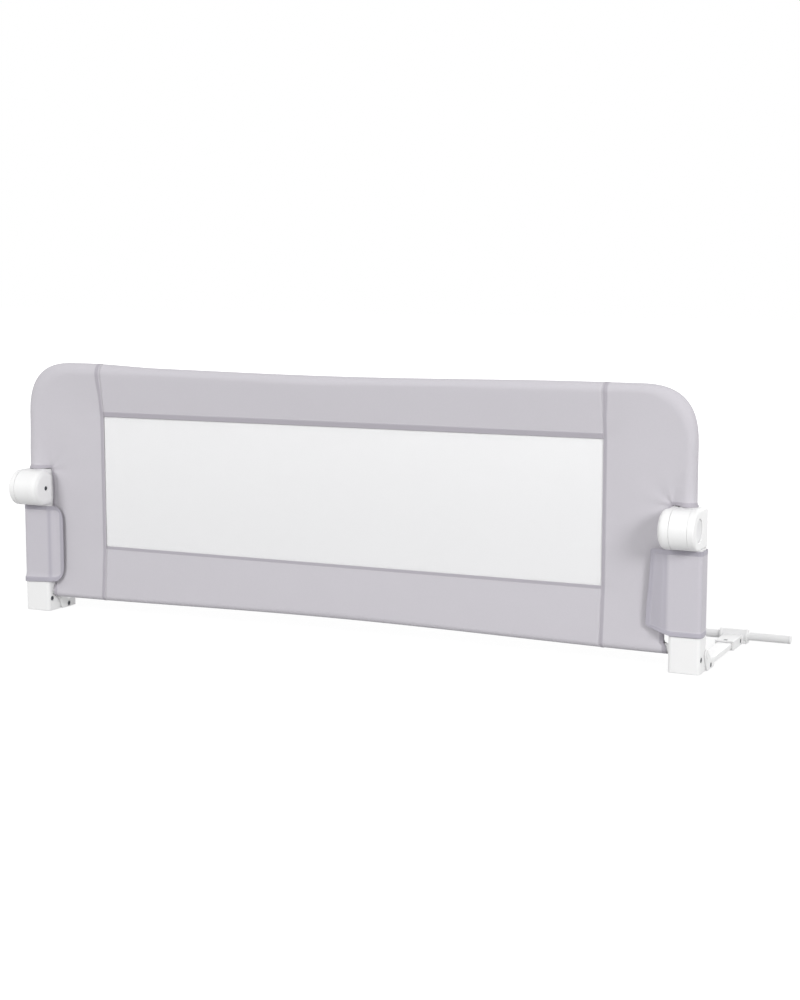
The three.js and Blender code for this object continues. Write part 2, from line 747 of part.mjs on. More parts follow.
// The cloth flap that is wrapped round a leg: up behind it, round its outer side and over its front.
function legWrap(side) {
  const shell = extrudeZ(wrapOutline(side, gap + wrap.thickness), legBottom, wrapTop);
  const height = [0, wrapTop + overrun];
  const room = extrudeZ(wrapOutline(side, gap), ...height);
  const frontTrim = box(onSide(side, [0, legInner - wrap.frontReach]), depthRange, height);
  const behind = [midY, midY + barrelFront];
  const backTrim = box(onSide(side, [0, legInner - wrap.backReach]), behind, height);
  return shell.subtract(room).subtract(frontTrim).subtract(backTrim);
}

function wrapOutline(side, stand) {
  const x = onSide(side, [legInner - wrap.frontReach - 2 * wrap.cornerRadius, legX + leg.width / 2 + stand]);
  const y = across(midY, leg.depth + 2 * stand);
  return roundedRectangle(x, y, wrap.cornerRadius + stand);
}

// Base

function bracketProfile() {
  const end = midY + block.back + gap + bracket.length;
  return polygon([
    [pivotY + bracket.heelReach, 0],
    [end, 0],
    [end, bracket.height],
    [pivotY + bracket.neckReach, bracket.height],
    ...arc(pivotY, pivot.height, bracket.earRadius, Math.PI / 4, 1.25 * Math.PI, bendSteps),
  ]);
}

const bracketX = [legX - block.width / 2 - gap - bracket.ear, legX + block.width / 2 + gap + bracket.ear];
const bracketFront = midY + block.back + gap;
const bracketBack = bracketFront + bracket.length;
const armStart = bracketBack - arm.insert;
const armEnd = crossY - crossTube.radius - 2 * gap;
const armZ = [arm.lift, arm.lift + arm.height];

function armBoltPlaces(side) {
  const y = bracketFront + armBolt.reach;
  const sunk = sunkHead(bolt.headHeight);
  return {
    from: { x: side * (bracketX[1] - sunk), y, z: armBolt.height },
    to: { x: side * (bracketX[0] + sunk), y, z: armBolt.height },
  };
}

function baseBracket(side) {
  const earX = [[bracketX[0], bracketX[0] + bracket.ear], [bracketX[1] - bracket.ear, bracketX[1]]];
  const [innerEar, outerEar] = earX.map((ear) => extrudeX(bracketProfile(), ...onSide(side, ear)));
  const body = box(onSide(side, bracketX), [bracketFront, bracketBack], [0, bracket.height]);
  const socket = box(across(side * armX, arm.width + 2 * gap), [armStart - gap, bracketBack + overrun],
    [armZ[0] - gap, armZ[1] + gap]);
  const holeWidth = onSide(side, [bracketX[0] - overrun, bracketX[1] + overrun]);
  const pivotLine = { y: pivotY, z: pivot.height };
  const earHole = rod('x', pivot.radius + gap, ...holeWidth, pivotLine, smallSides);
  const { from, to } = armBoltPlaces(side);
  return innerEar
    .add(outerEar)
    .add(body)
    .subtract(socket)
    .subtract(earHole)
    .subtract(rod('x', bolt.shankRadius + gap, from.x, to.x, from, smallSides))
    .subtract(boltHeadRoom(from, side))
    .subtract(boltHeadRoom(to, -side));
}

// The hollow rivet that the bracket's ears turn on.
function foldRivet(side) {
  const inner = bracketX[0] - gap;
  const outer = bracketX[1] + gap;
  const { radius, bore, flangeRadius, flange } = pivot;
  const place = { x: side * inner, y: pivotY, z: pivot.height };
  const length = outer - inner;
  return turned('x', side, [
    [bore, -flange],
    [flangeRadius, -flange],
    [flangeRadius, 0],
    [radius, 0],
    [radius, length],
    [flangeRadius, length],
    [flangeRadius, length + flange],
    [bore, length + flange],
    [bore, -flange],
  ], place, smallSides);
}

function baseArm(side) {
  const x = across(side * armX, arm.width);
  const hollow = box(across(side * armX, arm.width - 2 * arm.wall), [armStart - overrun, armEnd + overrun],
    [armZ[0] + arm.wall, armZ[1] - arm.wall]);
  const { from, to } = armBoltPlaces(side);
  const { top, outer } = teeScrewPlaces(side);
  return box(x, [armStart, armEnd], armZ)
    .subtract(hollow)
    .subtract(rod('x', bolt.shankRadius + gap, from.x, to.x, from, smallSides))
    .subtract(rod('z', screw.shankRadius + gap, crossTube.height / 2 + arm.lift, top.z, top, smallSides))
    .subtract(rod('x', screw.shankRadius + gap, side * armX, outer.x, outer, smallSides));
}

function teeScrewPlaces(side) {
  const neckFront = crossY - tee.neckLength;
  const sunk = sunkHead(screw.headHeight);
  return {
    top: { x: side * armX, y: neckFront + teeScrew.topReach, z: tee.neckHeight - sunk },
    outer: {
      x: side * (armX + tee.neckWidth / 2 - sunk),
      y: crossY - tee.radius - teeScrew.sideReach,
      z: teeScrew.sideHeight,
    },
  };
}

const teeScrewLength = screw.length / 2;

function teeFitting(side) {
  const middle = side * armX;
  const centre = { y: crossY, z: crossTube.height };
  const sleeve = rod('x', tee.radius, ...across(middle, tee.width), centre);
  const foot = box(across(middle, tee.width), across(crossY, tee.footDepth), [0, crossTube.height]);
  const neck = box(across(middle, tee.neckWidth), [crossY - tee.neckLength, crossY], [0, tee.neckHeight]);
  const socket = box(across(middle, arm.width + 2 * gap), [crossY - tee.neckLength - overrun, armEnd + gap],
    [armZ[0] - gap, armZ[1] + gap]);
  const { top, outer } = teeScrewPlaces(side);
  return sleeve
    .add(foot)
    .add(neck)
    .subtract(socket)
    .subtract(rod('x', crossTube.radius + gap, ...across(middle, tee.width + overrun), centre))
    .subtract(screwHole('z', -1, top, screw, teeScrewLength))
    .subtract(screwHole('x', -side, outer, screw, teeScrewLength));
}

function crossTubeSolid() {
  const centre = { y: crossY, z: crossTube.height };
  const outer = rod('x', crossTube.radius, -crossHalf, crossHalf, centre);
  const end = crossHalf + overrun;
  return outer.subtract(rod('x', crossTube.radius - crossTube.wall, -end, end, centre));
}

function tubeCap(side) {
  const plugRadius = crossTube.radius - crossTube.wall - gap;
  const face = crossHalf + gap;
  return turned('x', side, [
    [0, -cap.plug],
    [plugRadius - cap.edge, -cap.plug],
    [plugRadius, cap.edge - cap.plug],
    [plugRadius, 0],
    [crossTube.radius, 0],
    [crossTube.radius, cap.flange - cap.edge],
    [crossTube.radius - cap.edge, cap.flange],
    [0, cap.flange],
  ], { x: side * face, y: crossY, z: crossTube.height }, tubeSides);
}

// The whole rail

const object = new THREE.Group();

function material(colour, roughness, metalness = 0) {
  return () => new THREE.MeshStandardMaterial({ color: colour, roughness, metalness });
}

const finishes = {
  fabric: material(colours.fabric, 0.9),
  seamFabric: material(colours.seamFabric, 0.9),
  mesh: material(colours.mesh, 0.8),
  whitePlastic: material(colours.whitePlastic, 0.45),
  greyPlastic: material(colours.greyPlastic, 0.5),
  whiteSteel: material(colours.whiteSteel, 0.35, 0.1),
  bareSteel: material(colours.bareSteel, 0.35, 0.9),
  darkSteel: material(colours.darkSteel, 0.4, 0.9),
};

function place(name, solid, finish) {
  const mesh = new THREE.Mesh(geometryOf(solid), finishes[finish]());
  mesh.name = name;
  object.add(mesh);
}

function placeLowerSide(side) {
  const name = sideName(side);
  const { boltFrom, boltTo, lowScrew, highScrew } = legPlaces(side);
  place(`corner_block_${name}`, cornerBlock(side), 'whitePlastic');
  place(`block_bolt_${name}`, barrelBolt(boltFrom, boltTo, -side), 'darkSteel');
  place(`leg_post_${name}`, post(side), 'whiteSteel');
  place(`leg_screw_lower_${name}`, screwSolid('y', -1, lowScrew, screw, screw.length), 'bareSteel');
  place(`leg_screw_upper_${name}`, screwSolid('y', -1, highScrew, screw, screw.length), 'bareSteel');
  place(`hinge_fork_${name}`, hingeFork(side), 'whitePlastic');
  place(`hinge_end_cover_${name}`, endCoverPlate(side), 'whitePlastic');
  const coverScrew = screwSolid('x', side, endCoverScrewPlace(side), screw, endCover.screwLength);
  place(`end_cover_screw_${name}`, coverScrew, 'darkSteel');
  place(`hinge_axle_${name}`, hingeAxle(side), 'bareSteel');
  place(`leg_wrap_${name}`, legWrap(side), 'seamFabric');
  place(`cover_lower_side_${name}`, lowerSideBand(side), 'fabric');
}

function placeUpperSide(side) {
  const name = sideName(side);
  place(`hinge_tongue_${name}`, hingeTongue(side), 'whitePlastic');
  const tongueScrew = screwSolid('y', -1, tongueScrewPlace(side), screw, screw.length / 2);
  place(`tongue_screw_${name}`, tongueScrew, 'darkSteel');
  place(`side_tube_${name}`, sideTube(side), 'whiteSteel');
  place(`cover_upper_side_${name}`, upperSideBand(side), 'fabric');
}

function placeLock(side) {
  const name = sideName(side);
  place(`release_button_${name}`, releaseButton(side), 'greyPlastic');
  place(`lock_slider_${name}`, lockSlider(side), 'greyPlastic');
  place(`lock_spring_${name}`, lockSpring(side), 'bareSteel');
}

function placeBaseSide(side) {
  const name = sideName(side);
  const { from, to } = armBoltPlaces(side);
  const { top, outer } = teeScrewPlaces(side);
  place(`base_bracket_${name}`, baseBracket(side), 'whitePlastic');
  place(`fold_rivet_${name}`, foldRivet(side), 'darkSteel');
  place(`base_arm_${name}`, baseArm(side), 'whiteSteel');
  place(`arm_bolt_${name}`, barrelBolt(from, to, -side), 'darkSteel');
  place(`tee_fitting_${name}`, teeFitting(side), 'whitePlastic');
  place(`tee_top_screw_${name}`, screwSolid('z', -1, top, screw, teeScrewLength), 'darkSteel');
  place(`tee_side_screw_${name}`, screwSolid('x', -side, outer, screw, teeScrewLength), 'darkSteel');
  place(`cross_tube_cap_${name}`, tubeCap(side), 'whitePlastic');
}

for (const side of [-1, 1]) {
  placeLowerSide(side);
  placeUpperSide(side);
  placeLock(side);
  placeBaseSide(side);
}
place('top_tube', topTubeSolid(), 'whiteSteel');
place('bottom_tube', bottomTubeSolid(), 'whiteSteel');
place('cross_tube', crossTubeSolid(), 'whiteSteel');
place('cover_top_band', topBand(), 'fabric');
place('cover_bottom_band', bottomBand(), 'fabric');
place('window_mesh_upper', windowMesh(axisZ + gap / 2, windowHigh - gap), 'mesh');
place('window_mesh_lower', windowMesh(windowLow + gap, axisZ - gap / 2), 'mesh');

export default object;
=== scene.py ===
import json
import math

import bmesh
import bpy
from mathutils import Matrix, Vector, noise
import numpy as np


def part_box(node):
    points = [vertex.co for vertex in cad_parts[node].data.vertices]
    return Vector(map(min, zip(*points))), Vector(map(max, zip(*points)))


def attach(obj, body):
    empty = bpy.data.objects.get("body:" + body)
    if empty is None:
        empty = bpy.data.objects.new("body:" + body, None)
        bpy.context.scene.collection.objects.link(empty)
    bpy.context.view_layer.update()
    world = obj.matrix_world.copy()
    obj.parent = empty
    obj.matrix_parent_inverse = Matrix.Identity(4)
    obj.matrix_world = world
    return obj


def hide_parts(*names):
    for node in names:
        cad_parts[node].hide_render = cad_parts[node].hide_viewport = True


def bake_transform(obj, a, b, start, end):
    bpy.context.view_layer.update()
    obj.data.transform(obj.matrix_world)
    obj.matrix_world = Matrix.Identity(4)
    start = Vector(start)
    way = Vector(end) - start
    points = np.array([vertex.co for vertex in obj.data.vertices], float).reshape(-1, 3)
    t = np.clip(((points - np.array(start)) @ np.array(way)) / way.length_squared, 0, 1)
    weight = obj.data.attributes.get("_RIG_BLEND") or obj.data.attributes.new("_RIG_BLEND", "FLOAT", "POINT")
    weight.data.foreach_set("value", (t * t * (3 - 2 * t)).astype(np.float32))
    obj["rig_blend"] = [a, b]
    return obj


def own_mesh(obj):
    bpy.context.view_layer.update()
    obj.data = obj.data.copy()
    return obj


# Folding bed guard rail: a cloth and net panel on a tube frame, in metres, +Z up, -Y towards the room.
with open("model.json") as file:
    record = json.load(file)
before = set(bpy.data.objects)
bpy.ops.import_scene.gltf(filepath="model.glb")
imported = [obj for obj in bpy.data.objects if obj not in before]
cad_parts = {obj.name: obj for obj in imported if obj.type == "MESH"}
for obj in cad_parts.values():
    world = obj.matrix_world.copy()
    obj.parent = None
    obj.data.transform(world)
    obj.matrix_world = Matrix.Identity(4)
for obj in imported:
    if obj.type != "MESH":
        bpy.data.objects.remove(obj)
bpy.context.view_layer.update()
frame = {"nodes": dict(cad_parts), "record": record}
nodes = frame["nodes"]
mm = 0.001
quarter = math.pi / 2
hands = ((-1, "left"), (1, "right"))
print("frame loaded:", len(nodes), "nodes")


# Camera, light and floor

studio = {
    "world": 0.6,
    "floor": 14.0,
    "floorDrop": 0.4 * mm,  # so that the floor doesn't cut through what stands on it
    "floorColour": 0.5,
    "glow": 1.4,  # white that the camera sees in the floor
    "glowShare": 0.62,
    "glowFrom": 1.1,  # past this far from the middle the glow's share grows to all of it
    "glowOver": 1.6,
    "target": (0, -0.09, 0.2),
}
lamps = {
    "keyLamp": {"place": (-1.5, -3.4, 1.8), "size": 1.5, "power": 50.0},
    "sideLamp": {"place": (3.0, -1.9, 1.45), "size": 1.0, "power": 48.0},
    "topLamp": {"place": (0, 0.3, 3.2), "size": 3.0, "power": 3.0},
    "backLamp": {"place": (0.8, 3.6, 1.1), "size": 2.5, "power": 36.0},
}


def addObject(name, data):
    made = bpy.data.objects.new(name, data)
    bpy.context.scene.collection.objects.link(made)
    return made


def makeCamera():
    shot = {"place": (1.255, -2.57975, 0.5995), "down": 7.762, "turn": 24.752, "lens": 64.6, "sensor": 36.0}
    data = bpy.data.cameras.new("camera")
    data.lens = shot["lens"]
    data.sensor_width = shot["sensor"]
    camera = addObject("camera", data)
    camera.location = shot["place"]
    camera.rotation_euler = (math.radians(90 - shot["down"]), 0, math.radians(shot["turn"]))
    bpy.context.scene.camera = camera


def addLamp(name, place, size, power):
    data = bpy.data.lights.new(name, "AREA")
    data.shape = "DISK"
    data.size = size
    data.energy = power
    lamp = addObject(name, data)
    lamp.location = place
    aim = Vector(studio["target"]) - Vector(place)
    lamp.rotation_euler = aim.to_track_quat("-Z", "Y").to_euler()


# 1 for the rays that should find a white background: the camera's, and those through gloss and glass
def seenRays(tree):
    path = addNode(tree, "LightPath").outputs
    seen = calc(tree, "MAXIMUM", path["Is Camera Ray"], path["Is Glossy Ray"])
    return calc(tree, "MAXIMUM", seen, path["Is Transmission Ray"])


def makeWorld():
    world = bpy.data.worlds.new("studio")
    world.use_nodes = True
    bpy.context.scene.world = world
    bpy.context.scene.view_settings.view_transform = "Standard"
    tree, white = world.node_tree, (1, 1, 1, 1)
    light = tree.nodes["Background"]
    feed(tree, light, {"Color": white, "Strength": studio["world"]})
    seen = addNode(tree, "Background", {"Color": white, "Strength": 1.0})
    pick = addNode(tree, "MixShader", {"Fac": seenRays(tree), 1: light.outputs[0], 2: seen.outputs[0]})
    feed(tree, tree.nodes["World Output"], {"Surface": pick.outputs[0]})


def makeFloor():
    material, tree, shader = newMaterial("paleFloor")
    grey = (studio["floorColour"],) * 3 + (1,)
    feed(tree, shader, {"Base Color": grey, "Roughness": 0.9, "Specular IOR Level": 0.0})
    lit = addNode(tree, "Emission", {"Strength": studio["glow"]})
    far = addNode(tree, "VectorMath", {0: objectPlace(tree)}, operation="LENGTH").outputs["Value"]
    away = calc(tree, "DIVIDE", calc(tree, "SUBTRACT", far, studio["glowFrom"]), studio["glowOver"], clamp=True)
    share = calc(tree, "MULTIPLY_ADD", away, 1 - studio["glowShare"], studio["glowShare"])
    share = calc(tree, "MULTIPLY", seenRays(tree), share)
    pick = addNode(tree, "MixShader", {"Fac": share, 1: shader.outputs[0], 2: lit.outputs[0]})
    feed(tree, tree.nodes["Material Output"], {"Surface": pick.outputs[0]})
    bm = bmesh.new()
    bmesh.ops.create_grid(bm, x_segments=1, y_segments=1, size=studio["floor"])
    bmesh.ops.translate(bm, vec=(0, 0, -studio["floorDrop"]), verts=bm.verts)
    addPiece("studioFloor", bm, material)


# Nodes

# sets a node's inputs, each a number, a colour or another node's output
def feed(tree, node, inputs):
    for name, value in inputs.items():
        if isinstance(value, bpy.types.NodeSocket):
            tree.links.new(value, node.inputs[name])
        else:
            node.inputs[name].default_value = value


def addNode(tree, kind, inputs=None, **settings):
    node = tree.nodes.new("ShaderNode" + kind)
    for name, value in settings.items():
        setattr(node, name, value)
    feed(tree, node, inputs or {})
    return node


def calc(tree, operation, *values, clamp=False):
    return addNode(tree, "Math", dict(enumerate(values)), operation=operation, use_clamp=clamp).outputs[0]


def mixColours(tree, factor, first, second):
    return addNode(tree, "Mix", {0: factor, 6: first, 7: second}, data_type="RGBA").outputs[2]


def noiseAt(tree, vector, scale, detail=2.0, roughness=0.5):
    inputs = {"Vector": vector, "Scale": scale, "Detail": detail, "Roughness": roughness}
    return addNode(tree, "TexNoise", inputs).outputs["Fac"]


def bumpFrom(tree, height, strength, distance):
    inputs = {"Strength": strength, "Distance": distance, "Height": height}
    return addNode(tree, "Bump", inputs).outputs["Normal"]


def objectPlace(tree):
    return addNode(tree, "TexCoord").outputs["Object"]


# where a point lies on the cloth before it was sewn, in metres
def flatPlace(tree):
    return addNode(tree, "UVMap", uv_map="flat").outputs["UV"]


def attribute(tree, name):
    return addNode(tree, "Attribute", attribute_name=name).outputs["Fac"]


def splitVector(tree, vector):
    split = addNode(tree, "SeparateXYZ", {0: vector}).outputs
    return split["X"], split["Y"]


def placeGroup(tree, group, vector, inputs):
    return addNode(tree, "Group", {"Vector": vector, **inputs}, node_tree=group).outputs


def newMaterial(name):
    material = bpy.data.materials.new(name)
    material.use_nodes = True
    return material, material.node_tree, material.node_tree.nodes["Principled BSDF"]


# a node group that takes a vector and the given numbers, and returns numbers
def newGroup(name, numbers, outputs):
    group = bpy.data.node_groups.new(name, "ShaderNodeTree")
    group.interface.new_socket("Vector", in_out="INPUT", socket_type="NodeSocketVector")
    for socket, value in numbers.items():
        made = group.interface.new_socket(socket, in_out="INPUT", socket_type="NodeSocketFloat")
        made.default_value = value
    for socket in outputs:
        group.interface.new_socket(socket, in_out="OUTPUT", socket_type="NodeSocketFloat")
    return group, group.nodes.new("NodeGroupInput").outputs, group.nodes.new("NodeGroupOutput")


def makeWeaveGroup():
    group, given, result = newGroup("plainWeave", {"Threads": 1500.0}, ["Height", "Tone"])
    x, y = splitVector(group, given["Vector"])
    across, along = (calc(group, "MULTIPLY", place, given["Threads"]) for place in (x, y))
    warp, weft = (calc(group, "ABSOLUTE", calc(group, "SINE", calc(group, "MULTIPLY", place, math.pi)))
                  for place in (across, along))
    cell = calc(group, "ADD", calc(group, "FLOOR", across), calc(group, "FLOOR", along))
    over = calc(group, "PINGPONG", cell, 1.0)
    under = calc(group, "SUBTRACT", 1.0, over)
    height = calc(group, "ADD", calc(group, "MULTIPLY", warp, over), calc(group, "MULTIPLY", weft, under))
    slub = noiseAt(group, given["Vector"], 260.0, 3.0)
    feed(group, result, {"Height": calc(group, "MULTIPLY_ADD", slub, 0.5, height), "Tone": slub})
    return group


def makeUnevenGroup():
    group, given, result = newGroup("unevenTone", {"Size": 20.0, "Strength": 0.1}, ["Tone"])
    centred = calc(group, "SUBTRACT", noiseAt(group, given["Vector"], given["Size"], 3.0), 0.5)
    feed(group, result, {"Tone": calc(group, "MULTIPLY", centred, given["Strength"])})
    return group


# lines of stitches: a mask of the thread, along the line that the given band marks
def makeStitchGroup():
    group, given, result = newGroup("stitchLine", {"Band": 0.0, "Pitch": 0.0032}, ["Thread"])
    x, y = splitVector(group, given["Vector"])
    along = calc(group, "FRACT", calc(group, "DIVIDE", calc(group, "ADD", x, y), given["Pitch"]))
    middle = calc(group, "ABSOLUTE", calc(group, "SUBTRACT", along, 0.5))
    dash = calc(group, "DIVIDE", calc(group, "SUBTRACT", 0.4, middle), 0.1, clamp=True)
    line = calc(group, "DIVIDE", calc(group, "SUBTRACT", given["Band"], 0.45), 0.3, clamp=True)
    feed(group, result, {"Thread": calc(group, "MULTIPLY", dash, line)})
    return group


# Materials

def shade(colour, share):
    return tuple(c * share for c in colour[:3]) + (1,)


# a colour as it looks on a screen, 0 to 255, made linear
def linear(red, green, blue):
    return tuple(((c / 255 + 0.055) / 1.055) ** 2.4 for c in (red, green, blue)) + (1,)


def clothMaterial(name, colour, seamAndShadeColour, threadColour):
    look = {"threads": 1500.0, "cloudSize": 9.0, "cloud": 0.35, "weaveDepth": 0.15 * mm}
    material, tree, shader = newMaterial(name)
    vector = flatPlace(tree)
    weave = placeGroup(tree, weaveGroup, vector, {"Threads": look["threads"]})
    cloudy = placeGroup(tree, unevenGroup, vector, {"Size": look["cloudSize"], "Strength": look["cloud"]})
    thread = placeGroup(tree, stitchGroup, vector, {"Band": attribute(tree, "stitch")})["Thread"]
    tone = calc(tree, "ADD", calc(tree, "MULTIPLY_ADD", weave["Tone"], 0.5, 0.25), cloudy["Tone"])
    base = mixColours(tree, tone, shade(colour, 0.97), shade(colour, 1.03))
    # hems and seams take the darker seam colour, partly the doubled cloth's own colour and partly painted shade;
    # on the leg wraps the same mask also paints the shade of the flaps and of their folds
    hemmedAndShaded = mixColours(tree, attribute(tree, "seam"), base, seamAndShadeColour)
    height = calc(tree, "MULTIPLY_ADD", thread, 2.0, weave["Height"])
    feed(tree, shader, {
        "Base Color": mixColours(tree, thread, hemmedAndShaded, threadColour),
        "Roughness": calc(tree, "MULTIPLY_ADD", weave["Height"], 0.08, 0.78),
        "Normal": bumpFrom(tree, height, 0.35, look["weaveDepth"]),
        "Specular IOR Level": 0.25,
        "Sheen Weight": 0.25,
        "Sheen Roughness": 0.45,
    })
    return material


# rows of round holes, each row half a cell along from the last
def netMaterial(name, colour):
    look = {"cell": 1.5 * mm, "row": 0.9 * mm, "hole": 0.3, "edge": 0.08, "fuzz": 0.5}
    material, tree, shader = newMaterial(name)
    vector = flatPlace(tree)
    x, y = splitVector(tree, vector)
    along = calc(tree, "DIVIDE", y, look["row"])
    odd = calc(tree, "PINGPONG", calc(tree, "FLOOR", along), 1.0)
    shifted = calc(tree, "MULTIPLY_ADD", odd, 0.5, calc(tree, "DIVIDE", x, look["cell"]))
    offsets = [calc(tree, "SUBTRACT", calc(tree, "FRACT", place), 0.5) for place in (shifted, along)]
    squares = [calc(tree, "MULTIPLY", offset, offset) for offset in offsets]
    far = calc(tree, "SQRT", calc(tree, "ADD", *squares))
    thread = calc(tree, "DIVIDE", calc(tree, "SUBTRACT", far, look["hole"]), look["edge"], clamp=True)
    fibre = noiseAt(tree, vector, 900.0)
    feed(tree, shader, {
        "Base Color": mixColours(tree, fibre, shade(colour, 0.95), colour),
        "Alpha": calc(tree, "MAXIMUM", thread, look["fuzz"]),
        "Roughness": calc(tree, "MULTIPLY_ADD", fibre, 0.2, 0.6),
        "Normal": bumpFrom(tree, far, 0.4, 0.3 * mm),
        "Specular IOR Level": 0.3,
    })
    return material


def plasticMaterial(name, colour, roughness, grain):
    material, tree, shader = newMaterial(name)
    vector = objectPlace(tree)
    cloud = placeGroup(tree, unevenGroup, vector, {"Size": 14.0, "Strength": 1.0})["Tone"]
    fine = noiseAt(tree, vector, 1400.0)
    tone = calc(tree, "ADD", cloud, 0.5, clamp=True)
    rough = calc(tree, "MULTIPLY_ADD", cloud, 0.12, roughness)
    feed(tree, shader, {
        "Base Color": mixColours(tree, tone, shade(colour, 0.985), shade(colour, 1.01)),
        "Roughness": calc(tree, "MULTIPLY_ADD", fine, 0.05, rough),
        "Normal": bumpFrom(tree, fine, grain, 0.12 * mm),
        "IOR": 1.49,
    })
    return material


def paintMaterial(name, colour):
    material, tree, shader = newMaterial(name)
    vector = objectPlace(tree)
    peel = noiseAt(tree, vector, 620.0, 1.0)
    cloud = placeGroup(tree, unevenGroup, vector, {"Size": 18.0, "Strength": 1.0})["Tone"]
    tone = calc(tree, "ADD", cloud, 0.5, clamp=True)
    feed(tree, shader, {
        "Base Color": mixColours(tree, tone, shade(colour, 0.98), shade(colour, 1.01)),
        "Roughness": calc(tree, "MULTIPLY_ADD", peel, 0.12, 0.3),
        "Normal": bumpFrom(tree, peel, 0.25, 0.1 * mm),
        "Coat Weight": 0.25,
        "Coat Roughness": 0.2,
    })
    return material


def metalMaterial(name, colour, roughness):
    material, tree, shader = newMaterial(name)
    vector = objectPlace(tree)
    spangle = noiseAt(tree, vector, 380.0, 4.0, 0.7)
    scratch = noiseAt(tree, vector, 2200.0, 1.0)
    feed(tree, shader, {
        "Base Color": mixColours(tree, spangle, shade(colour, 0.8), shade(colour, 1.1)),
        "Roughness": calc(tree, "MULTIPLY_ADD", spangle, 0.2, roughness),
        "Normal": bumpFrom(tree, scratch, 0.15, 0.05 * mm),
        "Metallic": 1.0,
    })
    return material


# Meshes

def addPiece(name, bm, material):
    mesh = bpy.data.meshes.new(name)
    bm.normal_update()
    bm.to_mesh(mesh)
    bm.free()
    mesh.materials.append(material)
    mesh.shade_smooth()
    return addObject(name, mesh)


# applies a piece's modifiers
def settle(piece):
    bpy.context.view_layer.update()
    graph = bpy.context.evaluated_depsgraph_get()
    final = bpy.data.meshes.new_from_object(piece.evaluated_get(graph))
    piece.modifiers.clear()
    piece.data = final


def combine(piece, other, operation):
    modifier = piece.modifiers.new("combine", "BOOLEAN")
    modifier.operation = operation
    modifier.solver = "EXACT"
    modifier.object = other
    settle(piece)
    bpy.data.objects.remove(other)


def cut(piece, bm):
    combine(piece, addPiece("cutter", bm, piece.data.materials[0]), "DIFFERENCE")


def join(piece, bm):
    combine(piece, addPiece("joined", bm, piece.data.materials[0]), "UNION")


def roundEdges(piece, width, segments=3):
    modifier = piece.modifiers.new("edges", "BEVEL")
    modifier.width = width
    modifier.segments = segments
    modifier.limit_method = "ANGLE"
    modifier.angle_limit = math.radians(32)
    settle(piece)


def thicken(piece, thickness):
    modifier = piece.modifiers.new("thickness", "SOLIDIFY")
    modifier.thickness = thickness
    modifier.offset = -1
    modifier.use_even_offset = False
    settle(piece)
    piece.data.shade_smooth()


def smooth(share):
    share = min(max(share, 0.0), 1.0)
    return share * share * (3 - 2 * share)


# from 0 at a start to 1 that far past it
def ramp(value, start, over):
    return smooth((value - start) / over)


def mixed(first, second, share):
    return first + (second - first) * share


def spread(start, end, step):
    count = max(1, round(abs(end - start) / step))
    return [mixed(start, end, i / count) for i in range(count + 1)]


# a point from its place across an axis, (y, z), (x, z) or (x, y), and its place along it
def onAxis(axis, first, second, along):
    return {"x": (along, first, second), "y": (first, along, second), "z": (first, second, along)}[axis]


def arcPoints(centre, radius, start, end, steps):
    angles = [mixed(start, end, k / steps) for k in range(steps + 1)]
    return [(centre[0] + radius * math.cos(angle), centre[1] + radius * math.sin(angle)) for angle in angles]


def roundedOutline(low, high, radius, steps=6):
    (left, bottom), (right, top) = [[place + radius for place in low], [place - radius for place in high]]
    outline = []
    for turn, centre in enumerate(((right, top), (left, top), (left, bottom), (right, bottom))):
        outline += arcPoints(centre, radius, turn * quarter, (turn + 1) * quarter, steps)
    return outline


def prism(axis, outline, start, end):
    bm = bmesh.new()
    face = bm.faces.new([bm.verts.new(onAxis(axis, *point, start)) for point in outline])
    drawn = bmesh.ops.extrude_face_region(bm, geom=[face])
    moved = [item for item in drawn["geom"] if isinstance(item, bmesh.types.BMVert)]
    bmesh.ops.translate(bm, vec=onAxis(axis, 0, 0, end - start), verts=moved)
    bmesh.ops.recalc_face_normals(bm, faces=bm.faces)
    return bm


def rod(axis, radius, start, end, centre, sides=64):
    bm = bmesh.new()
    turn = {"x": Matrix.Rotation(quarter, 4, "Y"), "y": Matrix.Rotation(quarter, 4, "X"), "z": Matrix()}[axis]
    place = Matrix.Translation(onAxis(axis, *centre, (start + end) / 2)) @ turn
    bmesh.ops.create_cone(bm, cap_ends=True, segments=sides, radius1=radius, radius2=radius,
                          depth=abs(end - start), matrix=place)
    return bm


def box(low, high):
    bm = bmesh.new()
    low, high = Vector(low), Vector(high)
    place = Matrix.Translation((low + high) / 2) @ Matrix.Diagonal((*(high - low), 1))
    bmesh.ops.create_cube(bm, size=1, matrix=place)
    return bm


# a shape turned about an axis, from points (radius, place along the axis)
def turned(axis, profile, centre, sides=64):
    bm = bmesh.new()
    points = [bm.verts.new(onAxis(axis, centre[0] + radius, centre[1], along)) for radius, along in profile]
    edges = [bm.edges.new(pair) for pair in zip(points, points[1:])]
    bmesh.ops.spin(bm, geom=points + edges, cent=onAxis(axis, *centre, 0), axis=onAxis(axis, 0, 0, 1),
                   angle=2 * math.pi, steps=sides, use_merge=True)
    bmesh.ops.remove_doubles(bm, verts=bm.verts, dist=0.002 * mm)
    bmesh.ops.recalc_face_normals(bm, faces=bm.faces)
    return bm


# rounds the edges that lie in one plane across an axis
def roundAt(bm, axis, place, width, segments):
    index = "xyz".index(axis)
    near = 0.01 * mm
    edges = [e for e in bm.edges if all(abs(v.co[index] - place) < near for v in e.verts)]
    bmesh.ops.bevel(bm, geom=edges, offset=width, offset_type="OFFSET", segments=segments, profile=0.5,
                    affect="EDGES", material=-1)
    return bm


